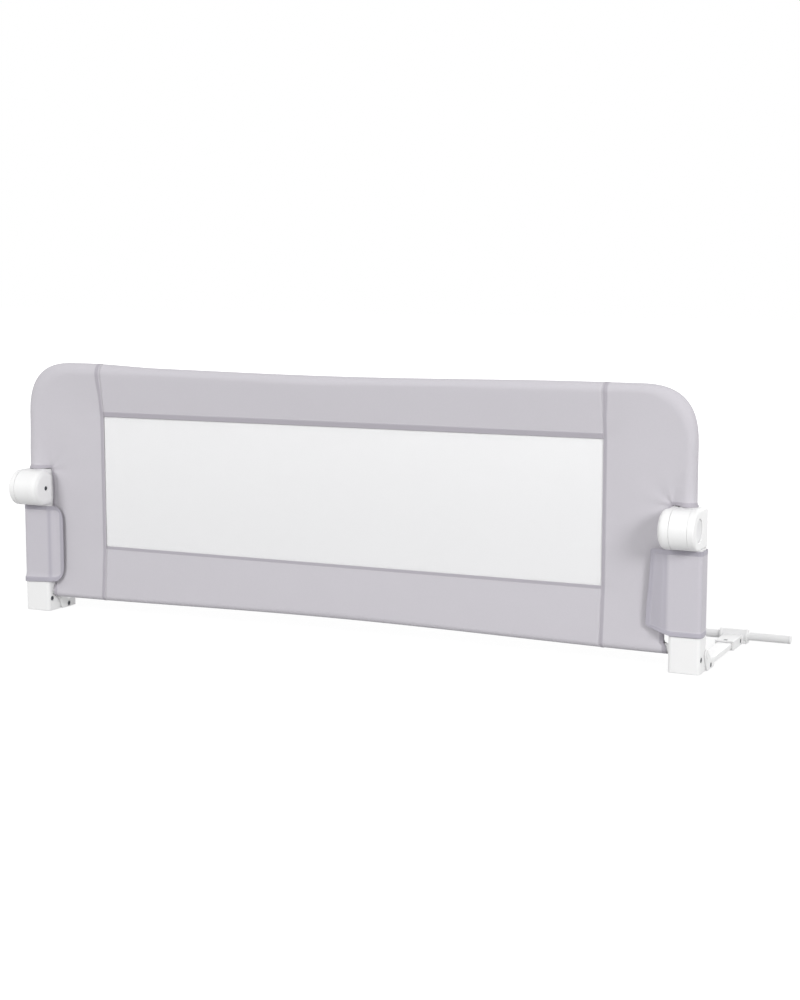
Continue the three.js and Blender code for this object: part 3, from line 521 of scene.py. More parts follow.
# keeps the part of a shape on one side of a plane across X, and closes it there
def sliced(bm, place, keepLow):
    geometry = bm.verts[:] + bm.edges[:] + bm.faces[:]
    result = bmesh.ops.bisect_plane(bm, geom=geometry, dist=0.001 * mm, plane_co=(place, 0, 0), plane_no=(1, 0, 0),
                                    clear_outer=keepLow, clear_inner=not keepLow)
    rim = [item for item in result["geom_cut"] if isinstance(item, bmesh.types.BMEdge)]
    bmesh.ops.edgeloop_fill(bm, edges=rim)
    bmesh.ops.recalc_face_normals(bm, faces=bm.faces)
    return bm


# the middle of a node's box, as its two places across an axis
def middleOf(node, axis):
    low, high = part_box(node)
    return [place for place, name in zip((low + high) / 2, "xyz") if name != axis]


# smooths a piece, gives it the name of a CAD node in one word and puts it in that node's place
def finishHard(piece, node, body):
    words = node.split("_")
    piece.name = words[0] + "".join(word.title() for word in words[1:])
    piece.data.shade_smooth()
    piece.data.set_sharp_from_angle(angle=math.radians(36))
    modifier = piece.modifiers.new("normals", "WEIGHTED_NORMAL")
    modifier.keep_sharp = True
    settle(piece)
    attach(piece, body)
    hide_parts(node)


# finishes a right-hand piece and its mirror image, and returns both with their hands
def finishPair(piece, node, body):
    mirrored = addObject("mirrored", piece.data.copy())
    mirrored.data.transform(Matrix.Scale(-1, 4, (1, 0, 0)))
    mirrored.data.flip_normals()
    pair = list(zip(hands, (mirrored, piece)))
    for (_, hand), each in pair:
        finishHard(each, f"{node}_{hand}", body.format(hand))
    print(node, "made")
    return pair


# The cover's shape

sideLow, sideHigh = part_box("side_tube_right")
tubeRadius = 11 * mm
panelY = (sideLow.y + sideHigh.y) / 2
tubeX = sideHigh.x - tubeRadius
tubeZ = sideHigh.z - tubeRadius
cover = {
    "sleeve": 12.5 * mm,  # radius round the upper tubes
    "flare": 1.9 * mm,  # how far the sleeve's mouth opens over the hinge's collar
    "flareHeight": 6 * mm,
    "lowSleeve": 8.5 * mm,
    "bend": 74.5 * mm,
    "topHalf": 460 * mm,
    "topBow": 4.5 * mm,
    "lowZ": 32.5 * mm,
    "lowHalf": 565.45 * mm,
    "lowBow": 6.5 * mm,
    "seamX": 434 * mm,
    "stripX": 444 * mm,
    "windowHalf": 435 * mm,
    "windowLow": 117 * mm,
    "windowHigh": 334.5 * mm,
    "seamHalf": 1.2 * mm,  # half thickness where front and back are sewn together
    "seamBlend": 14 * mm,
    "seamRound": 1.4 * mm,  # how far inside the sewn edge the cloth is at its full thickness
    "notchX": 541 * mm,  # the cover's edge beside the hinge
    "notchLow": 178 * mm,
    "notchTurn": (158 * mm, 22 * mm),  # where the edge starts to lean towards it, and over how much height
    "cuffZ": 242.5 * mm,  # the upper sleeve's mouth
    "cuffOpens": 3 * mm,
    "lowEdge": {-1: 540 * mm, 1: 531 * mm},  # the cover's edge below the hinge
    "mouthX": {-1: 538 * mm, 1: 536.5 * mm},  # the lower sleeve's mouth
    "mouthTurn": (37 * mm, 4 * mm),
    "openZ": 44 * mm,  # below this the edge is open round the tube
    "openTurn": (38 * mm, 10 * mm),
    "middleTurn": (80 * mm, 170 * mm),  # where the lower tube's pull gives way to the upper tubes'
    "hemWidth": 8 * mm,
    "cloth": 0.6 * mm,
    "stitch": 0.45 * mm,
}
# room over the hinge's barrel, which the cover passes when the rail folds
passing = {"shift": 1.9 * mm, "from": 527 * mm, "over": 6 * mm,
           "low": 184 * mm, "high": 239 * mm, "fade": 10 * mm}
bendX, bendZ = tubeX - cover["bend"], tubeZ - cover["bend"]
foldStart = (0, panelY, cover["notchLow"])
foldEnd = (0, panelY, cover["cuffZ"] - 0.2 * mm)


def topLine(x):
    if abs(x) >= cover["topHalf"]:
        return tubeZ
    return tubeZ - cover["topBow"] * (1 + math.cos(math.pi * x / cover["topHalf"])) / 2


def lowLine(x):
    return cover["lowZ"] + cover["lowBow"] * (1 + math.cos(math.pi * x / cover["lowHalf"])) / 2


# how far a point of the panel lies inside the line of the upper tubes
def upperDistance(x, z):
    x = abs(x)
    if x > bendX and z > bendZ:
        return cover["bend"] - math.hypot(x - bendX, z - bendZ)
    side = tubeX - x
    if z < cover["cuffZ"]:
        side = math.hypot(side, cover["cuffZ"] - z)
    return min(side, topLine(x) - z)


def windowDistance(x, z):
    below, above = cover["windowLow"] - z, z - cover["windowHigh"]
    return math.hypot(max(abs(x) - cover["windowHalf"], 0), max(above, below, 0))


# how far the cloth hangs clear of its tube beyond the sleeve's radius, of each hand
slack = {
    "cuffOver": 80 * mm,
    "topFrom": 320 * mm,
    "topOver": 150 * mm,
    -1: {"side": 4.2 * mm, "cuff": 2.2 * mm, "top": 4.2 * mm, "corner": 8.5 * mm},
    1: {"side": -0.6 * mm, "cuff": 0.0, "top": -0.4 * mm, "corner": 7 * mm},
}


def slackAt(x, z):
    own = slack[-1 if x < 0 else 1]
    angle = math.atan2(max(z - bendZ, 0), max(abs(x) - bendX, 0.01 * mm))
    side = own["side"] + own["cuff"] * ramp(bendZ, z, slack["cuffOver"])
    top = own["top"] * ramp(abs(x), slack["topFrom"], slack["topOver"])
    corner = own["corner"] * math.sin(2 * angle) ** 2 * (abs(x) > bendX)
    return mixed(side, top, smooth(angle / quarter)) + corner


# the cover's sewn edge below the upper sleeve, on the left (-1) or the right (1)
def outerEdge(z, way):
    low = mixed(cover["mouthX"][way], cover["lowEdge"][way], ramp(z, *cover["mouthTurn"]))
    return mixed(low, cover["notchX"], ramp(z, *cover["notchTurn"]))


# how far a point lies from where front and back are sewn together: the window's rim and the outer edge
def sewnDistance(x, z):
    window = windowDistance(x, z)
    if z > cover["cuffZ"]:
        edge = math.hypot(abs(x) - cover["notchX"], z - cover["cuffZ"])
    else:
        edge = outerEdge(z, math.copysign(1, x)) - abs(x)
        if z < cover["openZ"]:
            edge = math.hypot(edge, cover["openZ"] - z)
    blend, nearest = cover["seamBlend"], min(window, edge)
    return max(nearest - blend * math.log(sum(math.exp((nearest - far) / blend) for far in (window, edge))), 0.0)


# half the thickness of a sheet that leaves a sleeve and runs straight to its seam
def sheetHeight(inside, total, radius):
    seam = cover["seamHalf"]
    total = max(total, radius * 1.02)
    length = math.hypot(total, seam)
    angle = math.atan2(seam, total) + math.acos(min(radius / length, 1.0))
    touch = radius * math.cos(angle)
    if inside <= touch:
        return math.sqrt(max(radius * radius - inside * inside, 0.0))
    return mixed(radius * math.sin(angle), seam, (inside - touch) / (total - touch))


def halfThickness(x, z):
    sewn, above, below = sewnDistance(x, z), upperDistance(x, z), z - lowLine(x)
    upper = sheetHeight(above, above + sewn, cover["sleeve"])
    lower = sheetHeight(below, below + sewn, cover["lowSleeve"])
    return mixed(lower, upper, ramp(z, *cover["middleTurn"]))


seams = {
    "lip": 1.2 * mm,
    "thread": 0.9 * mm,
    "strip": 6.8 * mm,  # width of the seam beside the window, and how much wider and softer it is near the top, where its darkening also paints the shade of the gathered cloth
    "stripStitch": 5.6 * mm,
    "stripLip": 1.4 * mm,
    "stripWider": 3 * mm,
    "stripSofter": 1.6 * mm,
    "highTurn": (360 * mm, 40 * mm),
    "hemStitch": 6.6 * mm,
    "cuffFrom": -4 * mm,
    "cuffOver": 3 * mm,
    "cuffPaintedShade": 7 * mm,  # size of the painted shade where the cloth gathers at the cuff's inner corner
    "over": (10 * mm, 7.4 * mm),  # the width and the stitches of the hem over the window, and of that under it
    "under": (6 * mm, 4 * mm),
}


# 1 across a strip of that width, falling to 0 at its edges
def band(distance, width, lip=0.6 * mm):
    return smooth(distance / lip) * smooth((width - distance) / lip)


# a row of stitches at that distance from a hem's edge
def rowOf(distance, place):
    return smooth(1 - abs(distance - place) / seams["thread"])


# how far a point lies in a hem or seam, and in its stitches, both from 0 to 1; the first darkens the cloth, partly
# as the doubled cloth's colour and partly as painted shade, and it also paints shade at the cuff's inner corner
def seamAmount(x, z):
    lip, way, x = seams["lip"], math.copysign(1, x), abs(x)
    if x > cover["seamX"]:
        strip, high = x - cover["seamX"], ramp(z, *seams["highTurn"])
        width = seams["strip"] + high * seams["stripWider"]
        seam = band(strip, width, seams["stripLip"] + high * seams["stripSofter"])
        if z < cover["cuffZ"]:
            edge, near = outerEdge(z, way) - x + lip, 1.0
        else:
            beside = x - cover["notchX"]
            edge, near = z - cover["cuffZ"] + lip, ramp(beside, seams["cuffFrom"], seams["cuffOver"])
            # painted shade in the gathered cloth at the cuff's inner corner
            seam = max(seam, math.exp(-(math.hypot(beside, edge) / seams["cuffPaintedShade"]) ** 2))
        stitches = rowOf(strip, seams["stripStitch"]), rowOf(edge, seams["hemStitch"]) * near
        return max(seam, band(edge, cover["hemWidth"]) * near), max(stitches)
    over, under = z - cover["windowHigh"], cover["windowLow"] - z
    for past, (width, stitch) in ((over, seams["over"]), (under, seams["under"])):
        if past > -1 * mm:
            return band(past + lip, width), rowOf(past, stitch)
    return 0.0, 0.0


folds = {
    "alongSeam": 0.7 * mm,
    "seamGrain": (12, 70),
    "seamFade": 14 * mm,
    "alongHem": 0.5 * mm,
    "hemGrain": (60, 14),
    "hemFade": 16 * mm,
    "broad": 0.6 * mm,
    "broadGrain": (7, 9),
    "cuff": 0.9 * mm,  # creases that spread from the cuff's inner corner
    "cuffWaves": 7,
    "cuffFrom": 8 * mm,
    "cuffFade": 34 * mm,
    "cuffTurn": 1.2,
    "seamPlace": 3 * mm,  # the folds' middle, past the seam beside the window
    "calmUnder": 2.2 * mm,  # cloth thinner than this, by a seam, has smaller folds
    "least": 0.15,
    "seeds": {-1: 7.3, 1: 19.1},
}


def uneven(x, z, grain, seed):
    return noise.noise(Vector((x * grain[0], z * grain[1], seed)))


# small folds that fade out away from the sewn lines
def pucker(x, z, side):
    seed = folds["seeds"][side]
    beside = abs(abs(x) - cover["seamX"] - folds["seamPlace"])
    alongSeam = uneven(x, z, folds["seamGrain"], seed) * math.exp(-beside / folds["seamFade"])
    alongHem = uneven(x, z, folds["hemGrain"], seed + 5) * math.exp(-windowDistance(x, z) / folds["hemFade"])
    broad = uneven(x, z, folds["broadGrain"], seed + 9)
    across, up = abs(x) - cover["notchX"], z - cover["cuffZ"]
    far = math.hypot(across, up)
    waves = math.sin(math.atan2(up, across) * folds["cuffWaves"] + folds["cuffTurn"])
    cuff = waves * math.exp(-far / folds["cuffFade"])
    cuff *= smooth(far / folds["cuffFrom"])
    return (folds["alongSeam"] * alongSeam + folds["alongHem"] * alongHem + folds["broad"] * broad
            + folds["cuff"] * cuff)


# 0 at the cover's sewn outer edge, 1 inside it
def closing(x, z):
    if z > cover["cuffZ"] - 0.01 * mm or abs(x) < cover["stripX"]:
        return 1.0
    inside = max(outerEdge(z, math.copysign(1, x)) - abs(x), 0) / cover["seamRound"]
    rounded = math.sqrt(max(1 - (1 - min(inside, 1.0)) ** 2, 0))
    return mixed(1.0, rounded, ramp(z, *cover["openTurn"]) * ramp(cover["cuffZ"], z, cover["cuffOpens"]))


# how far the cover lies back, behind the barrel that it passes over when the rail folds
def laidBack(x, z):
    high = ramp(z, passing["low"], passing["fade"]) * ramp(passing["high"], z, passing["fade"])
    return passing["shift"] * high * ramp(abs(x), passing["from"], passing["over"])


# a point of the cover's flat part, on the front (-1) or the back (1)
def surfacePoint(x, z, side):
    half = halfThickness(x, z)
    calm = mixed(folds["least"], 1, smooth(half / folds["calmUnder"]))
    lift = cover["stitch"] * seamAmount(x, z)[0] + pucker(x, z, side) * calm
    return Vector((x, panelY + laidBack(x, z) + side * (half + lift) * closing(x, z), z))


def sleeveRadius(z):
    if z > bendZ:
        return cover["sleeve"]
    return cover["sleeve"] + cover["flare"] * smooth(1 - (z - cover["cuffZ"]) / cover["flareHeight"])


# a point of a sleeve, at an angle from its outermost line (0) to its face (a quarter turn)
def sleevePoint(centre, outward, angle, radius, side):
    x, z = centre
    lift = cover["stitch"] * seamAmount(x, z)[0] * (abs(x) < cover["stripX"])
    clear = slackAt(x, z) if z > cover["cuffZ"] - 1 * mm else 0
    reach = (radius + lift + clear) * math.cos(angle)
    stand = (radius + lift) * math.sin(angle)
    return Vector((x + outward[0] * reach, panelY + side * stand, z + outward[1] * reach))


# a grid whose corner (i, j) goes where place says: (point, flat place, (seam, stitches))
def gridPiece(bm, columns, rows, place):
    before = set(bm.verts)
    bmesh.ops.create_grid(bm, x_segments=columns, y_segments=rows, size=0.5)
    flatLayer = bm.loops.layers.uv.verify()
    seamLayer, stitchLayer = (bm.verts.layers.float[name] for name in ("seam", "stitch"))
    flats = {}
    for vert in [v for v in bm.verts if v not in before]:
        i = round((vert.co.x + 0.5) * columns)
        j = round((vert.co.y + 0.5) * rows)
        vert.co, flats[vert], (vert[seamLayer], vert[stitchLayer]) = place(i, j)
    for face in bm.faces:
        if face.verts[0] in flats:
            for loop in face.loops:
                loop[flatLayer].uv = flats[loop.vert]


def newCloth():
    bm = bmesh.new()
    bm.loops.layers.uv.new("flat")
    for name in ("seam", "stitch"):
        bm.verts.layers.float.new(name)
    return bm


def finishCloth(name, bm, material, thickness):
    bmesh.ops.remove_doubles(bm, verts=bm.verts, dist=0.02 * mm)
    bmesh.ops.recalc_face_normals(bm, faces=bm.faces)
    piece = addPiece(name, bm, material)
    thicken(piece, thickness)
    return piece


# Bands above and below the window

# the meshes' steps, and where their closer rows lie from a band's hem, the seam beside the window, the cuff
# and the cover's edge, in millimetres
grid = {
    "step": 4 * mm,
    "fineStep": 3.8 * mm,
    "rayStep": 3.6 * mm,
    "bendStep": math.radians(3.2),
    "topTurns": 10,
    "lowTurns": 8,
    "hem": (0, 0.5, 1.2, 2.4, 3.2, 4, 4.8, 5.6, 6.6, 7.4, 8.2, 9.2, 10.4, 13, 16.5, 20),
    "strip": (0, 0.5, 1.2, 2.6, 4, 4.8, 5.6, 6.4, 7.2, 8.4, 10),
    "cuff": (9, 7.4, 6.6, 5.8, 5, 3, 1.2, 0),
    "edge": (0, 0.25, 0.6, 1.2, 2.2, 3.4, 5, 5.8, 6.6, 7.4),
}


def bandSteps(near, far):
    way = 1 if far > near else -1
    start = [near + way * step * mm for step in grid["hem"]]
    return start + spread(start[-1], far, grid["fineStep"])[1:]


def makeBand(name, high, material):
    line = topLine if high else lowLine
    radius = cover["sleeve"] if high else cover["lowSleeve"]
    seamZ = cover["windowHigh"] if high else cover["windowLow"]
    outward = (0, 1) if high else (0, -1)
    turns = grid["topTurns"] if high else grid["lowTurns"]
    xs = spread(-cover["seamX"], cover["seamX"], grid["step"])
    shares = [(z - seamZ) / (line(0) - seamZ) for z in bandSteps(seamZ, line(0))]
    angles = [quarter * (1 - k / turns) for k in range(1, turns + 1)]
    steps = [(-1, "flat", s) for s in shares] + [(-1, "sleeve", a) for a in angles]
    steps += [(1, kind, value) for _, kind, value in reversed(steps[:-1])]

    def place(i, j):
        x = xs[i]
        side, kind, value = steps[j]
        if kind == "flat":
            z = mixed(seamZ, line(x), value)
            return surfacePoint(x, z, side), (x, z), seamAmount(x, z)
        flatZ = line(x) + outward[1] * radius * (quarter - value)
        return sleevePoint((x, line(x)), outward, value, radius, side), (x, flatZ), (0.0, 0.0)

    bm = newCloth()
    gridPiece(bm, len(xs) - 1, len(steps) - 1, place)
    return finishCloth(name, bm, material, cover["cloth"])


# Side panels

def makeSidePanel(name, way, material):
    stripX, notchX, cuffZ = cover["stripX"], cover["notchX"], cover["cuffZ"]
    stripXs = [cover["seamX"] + s * mm for s in grid["strip"]]
    low, step = lowLine(stripX), grid["step"]
    beside = spread(cover["windowHigh"], cuffZ + 3 * step, step) + [cuffZ + s * mm for s in grid["cuff"]]
    lowShares = [(z - low) / (cuffZ - low) for z in spread(cuffZ, low, step)]
    topAngles, lowAngles = ([quarter * k / turns for k in range(turns + 1)]
                            for turns in (grid["topTurns"], grid["lowTurns"]))
    innerXs = [notchX - s * mm for s in grid["edge"]] + spread(notchX - 9 * mm, stripX, grid["fineStep"])
    shares = [(x - stripX) / (tubeX - stripX) for x in spread(tubeX, notchX, grid["rayStep"]) + innerXs[1:]]

    def flat(x, z, side):
        return surfacePoint(way * x, z, side), (way * x, z), seamAmount(way * x, z)

    def sleeve(centre, outward, angle, side, radius=None):
        x, z = centre
        radius = radius or sleeveRadius(z)
        reach = radius * (quarter - angle)
        unrolled = (way * (x + outward[0] * reach), z + outward[1] * reach)
        sewn = seamAmount(way * x, z) if x < stripX or z < cuffZ + 9 * mm else (0.0, 0.0)
        return sleevePoint((way * x, z), (way * outward[0], outward[1]), angle, radius, side), unrolled, sewn

    # the strip beside the seam goes all the way round, front and back
    loop = [("top", a) for a in topAngles[:-1]] + [("upper", s) for s in shares]
    loop += [("middle", z) for z in beside[1:]] + [("lower", s) for s in lowShares[1:]]
    loop += [("bottom", a) for a in reversed(lowAngles[:-1])]

    def stripPlace(side):
        def place(i, j):
            x = stripXs[i]
            kind, value = loop[j]
            if kind == "top":
                return sleeve((x, topLine(x)), (0, 1), value, side)
            if kind == "upper":
                return flat(x, mixed(cover["windowHigh"], topLine(x), value), side)
            if kind == "middle":
                return flat(x, value, side)
            if kind == "lower":
                return flat(x, mixed(lowLine(x), cuffZ, value), side)
            return sleeve((x, lowLine(x)), (0, -1), value, side, cover["lowSleeve"])
        return place

    # rays from the strip out to the tubes: along the top, round the bend and down the side
    corner = (stripX, cover["windowHigh"])
    rays = [((x, topLine(x)), (0, 1), corner) for x in spread(stripX, bendX, step)]
    for angle in spread(quarter, 0, grid["bendStep"])[1:]:
        outward = (math.cos(angle), math.sin(angle))
        rays.append(((bendX + cover["bend"] * outward[0], bendZ + cover["bend"] * outward[1]), outward, corner))
    rays += [((tubeX, z), (1, 0), (stripX, z)) for z in beside if z < bendZ - 1 * mm]

    def rayPlace(side):
        def place(i, j):
            centre, outward, inner = rays[i]
            if j < len(topAngles) - 1:
                return sleeve(centre, outward, topAngles[j], side)
            share = shares[j - len(topAngles) + 1]
            x, z = mixed(inner[0], centre[0], share), mixed(inner[1], centre[1], share)
            point, unrolled, sewn = flat(x, z, side)
            extra = sleeveRadius(z) - cover["sleeve"]
            point.y += side * extra * smooth(1 - (tubeX - x) / (tubeX - notchX + 4 * mm))
            return point, unrolled, sewn
        return place

    # columns from the lower tube up to the notch
    columnShares = [(x - stripX) / (notchX - stripX) for x in reversed(innerXs)]
    columnSteps = [("bottom", a) for a in lowAngles[:-1]] + [("flat", s) for s in reversed(lowShares)]

    def columnPlace(side):
        def place(i, j):
            kind, value = columnSteps[j]
            z = mixed(low, cuffZ, value) if kind == "flat" else low
            x = mixed(stripX, outerEdge(z, way), columnShares[i])
            if kind == "bottom":
                return sleeve((x, lowLine(x)), (0, -1), value, side, cover["lowSleeve"])
            return flat(x, mixed(lowLine(x), cuffZ, value), side)
        return place

    bm = newCloth()
    for side in (-1, 1):
        gridPiece(bm, len(stripXs) - 1, len(loop) - 1, stripPlace(side))
        gridPiece(bm, len(rays) - 1, len(topAngles) + len(shares) - 2, rayPlace(side))
        gridPiece(bm, len(columnShares) - 1, len(columnSteps) - 1, columnPlace(side))
    return finishCloth(name, bm, material, cover["cloth"])


# The net in the window

def makeNet(name, material):
    size = {"side": 3 * mm, "end": 4 * mm, "sag": 0.35 * mm, "thread": 0.5 * mm}
    xs = spread(-cover["windowHalf"] - size["side"], cover["windowHalf"] + size["side"], 6 * mm)
    zs = spread(cover["windowLow"] - size["end"], cover["windowHigh"] + size["end"], 4.5 * mm)

    def place(i, j):
        sag = size["sag"] * uneven(xs[i], zs[j], (6, 8), 3.7)
        return Vector((xs[i], panelY + sag, zs[j])), (xs[i], zs[j]), (0.0, 0.0)

    bm = newCloth()
    gridPiece(bm, len(xs) - 1, len(zs) - 1, place)
    return finishCloth(name, bm, material, size["thread"])


# Leg wraps

wrap = {
    "top": 180 * mm,
    "bottom": 54.4 * mm,
    "half": 16.8 * mm,  # from the panel's middle plane to its front and back faces
    "outer": 589.6 * mm,
    "backEnds": (541 * mm, 522 * mm),  # where it leaves the leg behind, and its end on the panel's back
    "radii": (8 * mm, 7 * mm, 5.5 * mm, 5.5 * mm, 9 * mm),
    "hem": 7 * mm,
    "hemRise": 0.35 * mm,
    "stitch": 5.6 * mm,
    "cloth": 1.1 * mm,
    "pathStep": 1.2 * mm,
    "tail": 40 * mm,  # spare path before the free edge, for its slant
    "frontTurn": (84 * mm, 20 * mm),  # where the cloth goes round to the back
    "sagTurn": (20 * mm, 60 * mm),
    "sagShare": 0.55,  # of the sag, at the free edge
    "liftOver": 38 * mm,
    "slantTurn": (60 * mm, 105 * mm),
    "slantOver": 30 * mm,
    "valley": 1.1 * mm,  # the fold where the flap meets the leg
    "valleyWidth": 3.6 * mm,
    # painted shade darkening the fold where the flap meets the leg
    "valleyPaintedShade": 0.85,
    "crumple": 0.5 * mm,
    "crumpleGrain": (60, 16),
    "calmTurn": (34 * mm, 12 * mm),
    "calm": 0.7,
    "overBlock": 1.9 * mm,  # how far it stands out over the block's top edge
    "blockTurn": (64 * mm, 10 * mm),
    # of each hand: its free edge, where it meets the panel's face, where it leaves the leg, how far its free
    # edge slants, how far its free end is lifted, how far its outer corner hangs down, how far its free edge
    # stands off the panel, the width and height of its free corners, and how much painted shade darkens the flap
    -1: {"free": 515.5 * mm, "foot": 530 * mm, "shoulder": 539 * mm, "slant": 0.0, "lift": 0.0, "sag": 5.5 * mm,
         "standOff": 6.4 * mm, "lowCorner": (18 * mm, 27 * mm), "highCorner": (17 * mm, 24 * mm), "tone": 0.1},
    1: {"free": 511 * mm, "foot": 513 * mm, "shoulder": 534 * mm, "slant": 6 * mm, "lift": 9 * mm, "sag": 0.0,
        "standOff": 8.5 * mm, "lowCorner": (9 * mm, 8 * mm), "highCorner": (5 * mm, 4 * mm), "tone": 0.7},
}


# a bent line whose corners are rounded
def roundedPath(corners, radii):
    points = [Vector(corners[0])]
    for before, corner, after, radius in zip(corners, corners[1:], corners[2:], radii):
        into = (Vector(corner) - Vector(before)).normalized()
        out = (Vector(after) - Vector(corner)).normalized()
        turn = into.angle(out)
        start = Vector(corner) - into * radius * math.tan(turn / 2)
        inward = (out - into * into.dot(out)).normalized()
        for angle in spread(0, turn, wrap["pathStep"] / radius):
            points.append(start + into * math.sin(angle) * radius + inward * (1 - math.cos(angle)) * radius)
    return points + [Vector(corners[-1])]


def alongPath(points, distance):
    for first, second in zip(points, points[1:]):
        length = (second - first).length
        if distance <= length or second is points[-1]:
            return first.lerp(second, distance / length if length else 0)
        distance -= length


def makeLegWrap(name, way, material):
    own = wrap[way]
    frontY, backY = panelY - wrap["half"], panelY + wrap["half"]
    stand = halfThickness(way * own["free"], 120 * mm) + own["standOff"]
    leaves, ends = wrap["backEnds"]
    path = roundedPath([(own["foot"] - wrap["tail"], panelY - stand), (own["foot"], panelY - stand),
                        (own["shoulder"], frontY), (wrap["outer"], frontY), (wrap["outer"], backY),
                        (leaves, backY), (ends, panelY + stand)], wrap["radii"])
    start = wrap["tail"] - (own["foot"] - own["free"])
    total = sum((b - a).length for a, b in zip(path, path[1:])) - start
    flap = own["shoulder"] - own["free"] + 2 * mm
    hems = [0, 0.4, 1, 2, 3.4, 4.8, 5.6, 6.4, 7, 7.6, 8.4, 10]
    alongs = [s * mm for s in hems + [12, 14, 16, 18]] + spread(20 * mm, 44 * mm, 2 * mm)
    alongs += spread(44 * mm, total - 10 * mm, 2.4 * mm)[1:] + [total - h * mm for h in reversed(hems[:-1])]
    rise = wrap["top"] - wrap["bottom"]
    levels = [h * mm for h in hems] + spread(10 * mm, rise - 10 * mm, 4 * mm)[1:]
    levels += [rise - h * mm for h in reversed(hems[:-1])]

    def place(i, j):
        along, share = alongs[i], levels[j] / rise
        inFront = 1 - ramp(along, *wrap["frontTurn"])
        lowCut, highCut = (height * (1 - math.sqrt(max(1 - max(1 - along / width, 0) ** 2, 0)))
                           for width, height in (own["lowCorner"], own["highCorner"]))
        z = wrap["bottom"] + mixed(lowCut, rise - highCut, share)
        z += (1 - share) ** 3 * own["lift"] * (1 - smooth(along / wrap["liftOver"]))
        sagging = mixed(wrap["sagShare"], 1.0, ramp(along, *wrap["sagTurn"])) * inFront
        z -= (1 - share) ** 6 * own["sag"] * sagging
        slant = own["slant"] * (1 - ramp(z, *wrap["slantTurn"])) * smooth(1 - along / wrap["slantOver"])
        spot, ahead = (alongPath(path, start + along - slant + step) for step in (0, 0.5 * mm))
        outward = Vector(((ahead - spot).y, -(ahead - spot).x)).normalized()
        inside = min(along, total - along, levels[j], rise - levels[j])
        hem = band(inside + 0.6 * mm, wrap["hem"] + 0.6 * mm)
        valley = math.exp(-((along - flap) / wrap["valleyWidth"]) ** 2)
        # the hems darken partly as doubled cloth and partly as painted shade; the flap and its fold get painted
        # shade only
        seam = max(hem, own["tone"] * ramp(flap + 3 * mm, along, 5 * mm), wrap["valleyPaintedShade"] * valley)
        crumple = wrap["crumple"] * uneven(along, z, wrap["crumpleGrain"], 31.0 + way)
        crumple *= smooth(along / (10 * mm)) * (1 - wrap["calm"] * ramp(along, *wrap["calmTurn"]))
        blockTop, over = wrap["blockTurn"]
        overBlock = wrap["overBlock"] * ramp(blockTop, z, over) * inFront
        spot = spot + outward * (wrap["hemRise"] * hem + crumple + overBlock - wrap["valley"] * valley)
        return Vector((way * spot.x, spot.y, z)), (way * along, z), (seam, rowOf(inside, wrap["stitch"]))

    bm = newCloth()
    gridPiece(bm, len(alongs) - 1, len(levels) - 1, place)
    bmesh.ops.remove_doubles(bm, verts=bm.verts, dist=0.02 * mm)
    bmesh.ops.recalc_face_normals(bm, faces=bm.faces)
    front = min(bm.faces, key=lambda face: face.calc_center_median().y)
    if front.normal.y > 0:
        bmesh.ops.reverse_faces(bm, faces=bm.faces)
    piece = addPiece(name, bm, material)
    thicken(piece, wrap["cloth"])
    return piece


# Hinges

forkLow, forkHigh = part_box("hinge_fork_right")
endLow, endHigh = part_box("hinge_end_cover_right")
tongueLow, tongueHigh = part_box("hinge_tongue_right")
buttonLow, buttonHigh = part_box("release_button_right")
legLow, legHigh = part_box("leg_post_right")
barrelRadius = (endHigh.z - endLow.z) / 2
foldAxis = (endLow.y + barrelRadius, endLow.z + barrelRadius)
seat = 0.3 * mm  # between pieces that touch
beyond = 2 * mm  # how far a cutting shape runs past a face
hinge = {
    "endReach": 22 * mm,  # how far the barrel's inner end reaches behind the fold's axis
    "endCorner": 11 * mm,
    "endFillet": 9.5 * mm,
    "buttonSpread": 2 * mm,  # how much wider the button looks than its CAD node
    "outerFillet": 3 * mm,
    "topCorner": 7 * mm,
    "web": 8 * mm,
    "floor": 2.6 * mm,
    "axleHole": 4.3 * mm,
    "axleHead": 8.8 * mm,
    "axleHeadDepth": 7 * mm,
    "crest": 9.1 * mm,
    "root": 7.9 * mm,
    "teeth": 8,
    "mouth": 0.8 * mm,
    "collarRadius": 13.3 * mm,
    "tubeHole": 11.3 * mm,
    "tubeFloor": 3.6 * mm,
    "lockBore": 9.4 * mm,
    "lockBoreFrom": 559.6 * mm,
    "edge": 0.5 * mm,
}
leg = {"wall": 2 * mm, "corner": 6 * mm, "plugCorner": 4 * mm}
recess = {"screw": (3.9 * mm, 2.1 * mm), "bolt": (4.3 * mm, 2.5 * mm), "shank": 2.2 * mm}  # radius, depth


# the barrel's full depth, seen along the fold's axis: round in front, with one rounded corner behind
def barrelOutline():
    z, back, corner = foldAxis[1], forkHigh.y, hinge["topCorner"]
    outline = arcPoints(foldAxis, barrelRadius, quarter, 3 * quarter, 48) + [(back, z - barrelRadius)]
    return outline + arcPoints((back - corner, z + barrelRadius - corner), corner, 0, quarter, 8)


# the inner end of the barrel, end cover and ear together, before it is cut in two
def barrelEnd():
    (y, z), corner = foldAxis, hinge["endCorner"]
    back = hinge["endReach"] - corner
    rise = math.sqrt((barrelRadius - corner) ** 2 - back ** 2)
    meets = math.atan2(rise, back)
    outline = arcPoints((y + back, z + rise), corner, 0, meets, 8)
    outline += arcPoints(foldAxis, barrelRadius, meets, 3 * quarter, 56)[1:]
    outline += arcPoints((y + back, z - barrelRadius + corner), corner, 3 * quarter, 4 * quarter, 8)
    return roundAt(prism("x", outline, endLow.x, tongueLow.x - seat), "x", endLow.x, hinge["endFillet"], 8)


def toothedOutline():
    pitch = 4 * quarter / hinge["teeth"]
    outline = []
    for tooth in range(hinge["teeth"]):
        outline += arcPoints(foldAxis, hinge["crest"], pitch * tooth, pitch * (tooth + 0.4), 4)
        outline += arcPoints(foldAxis, hinge["root"], pitch * (tooth + 0.5), pitch * (tooth + 0.9), 4)
    return outline


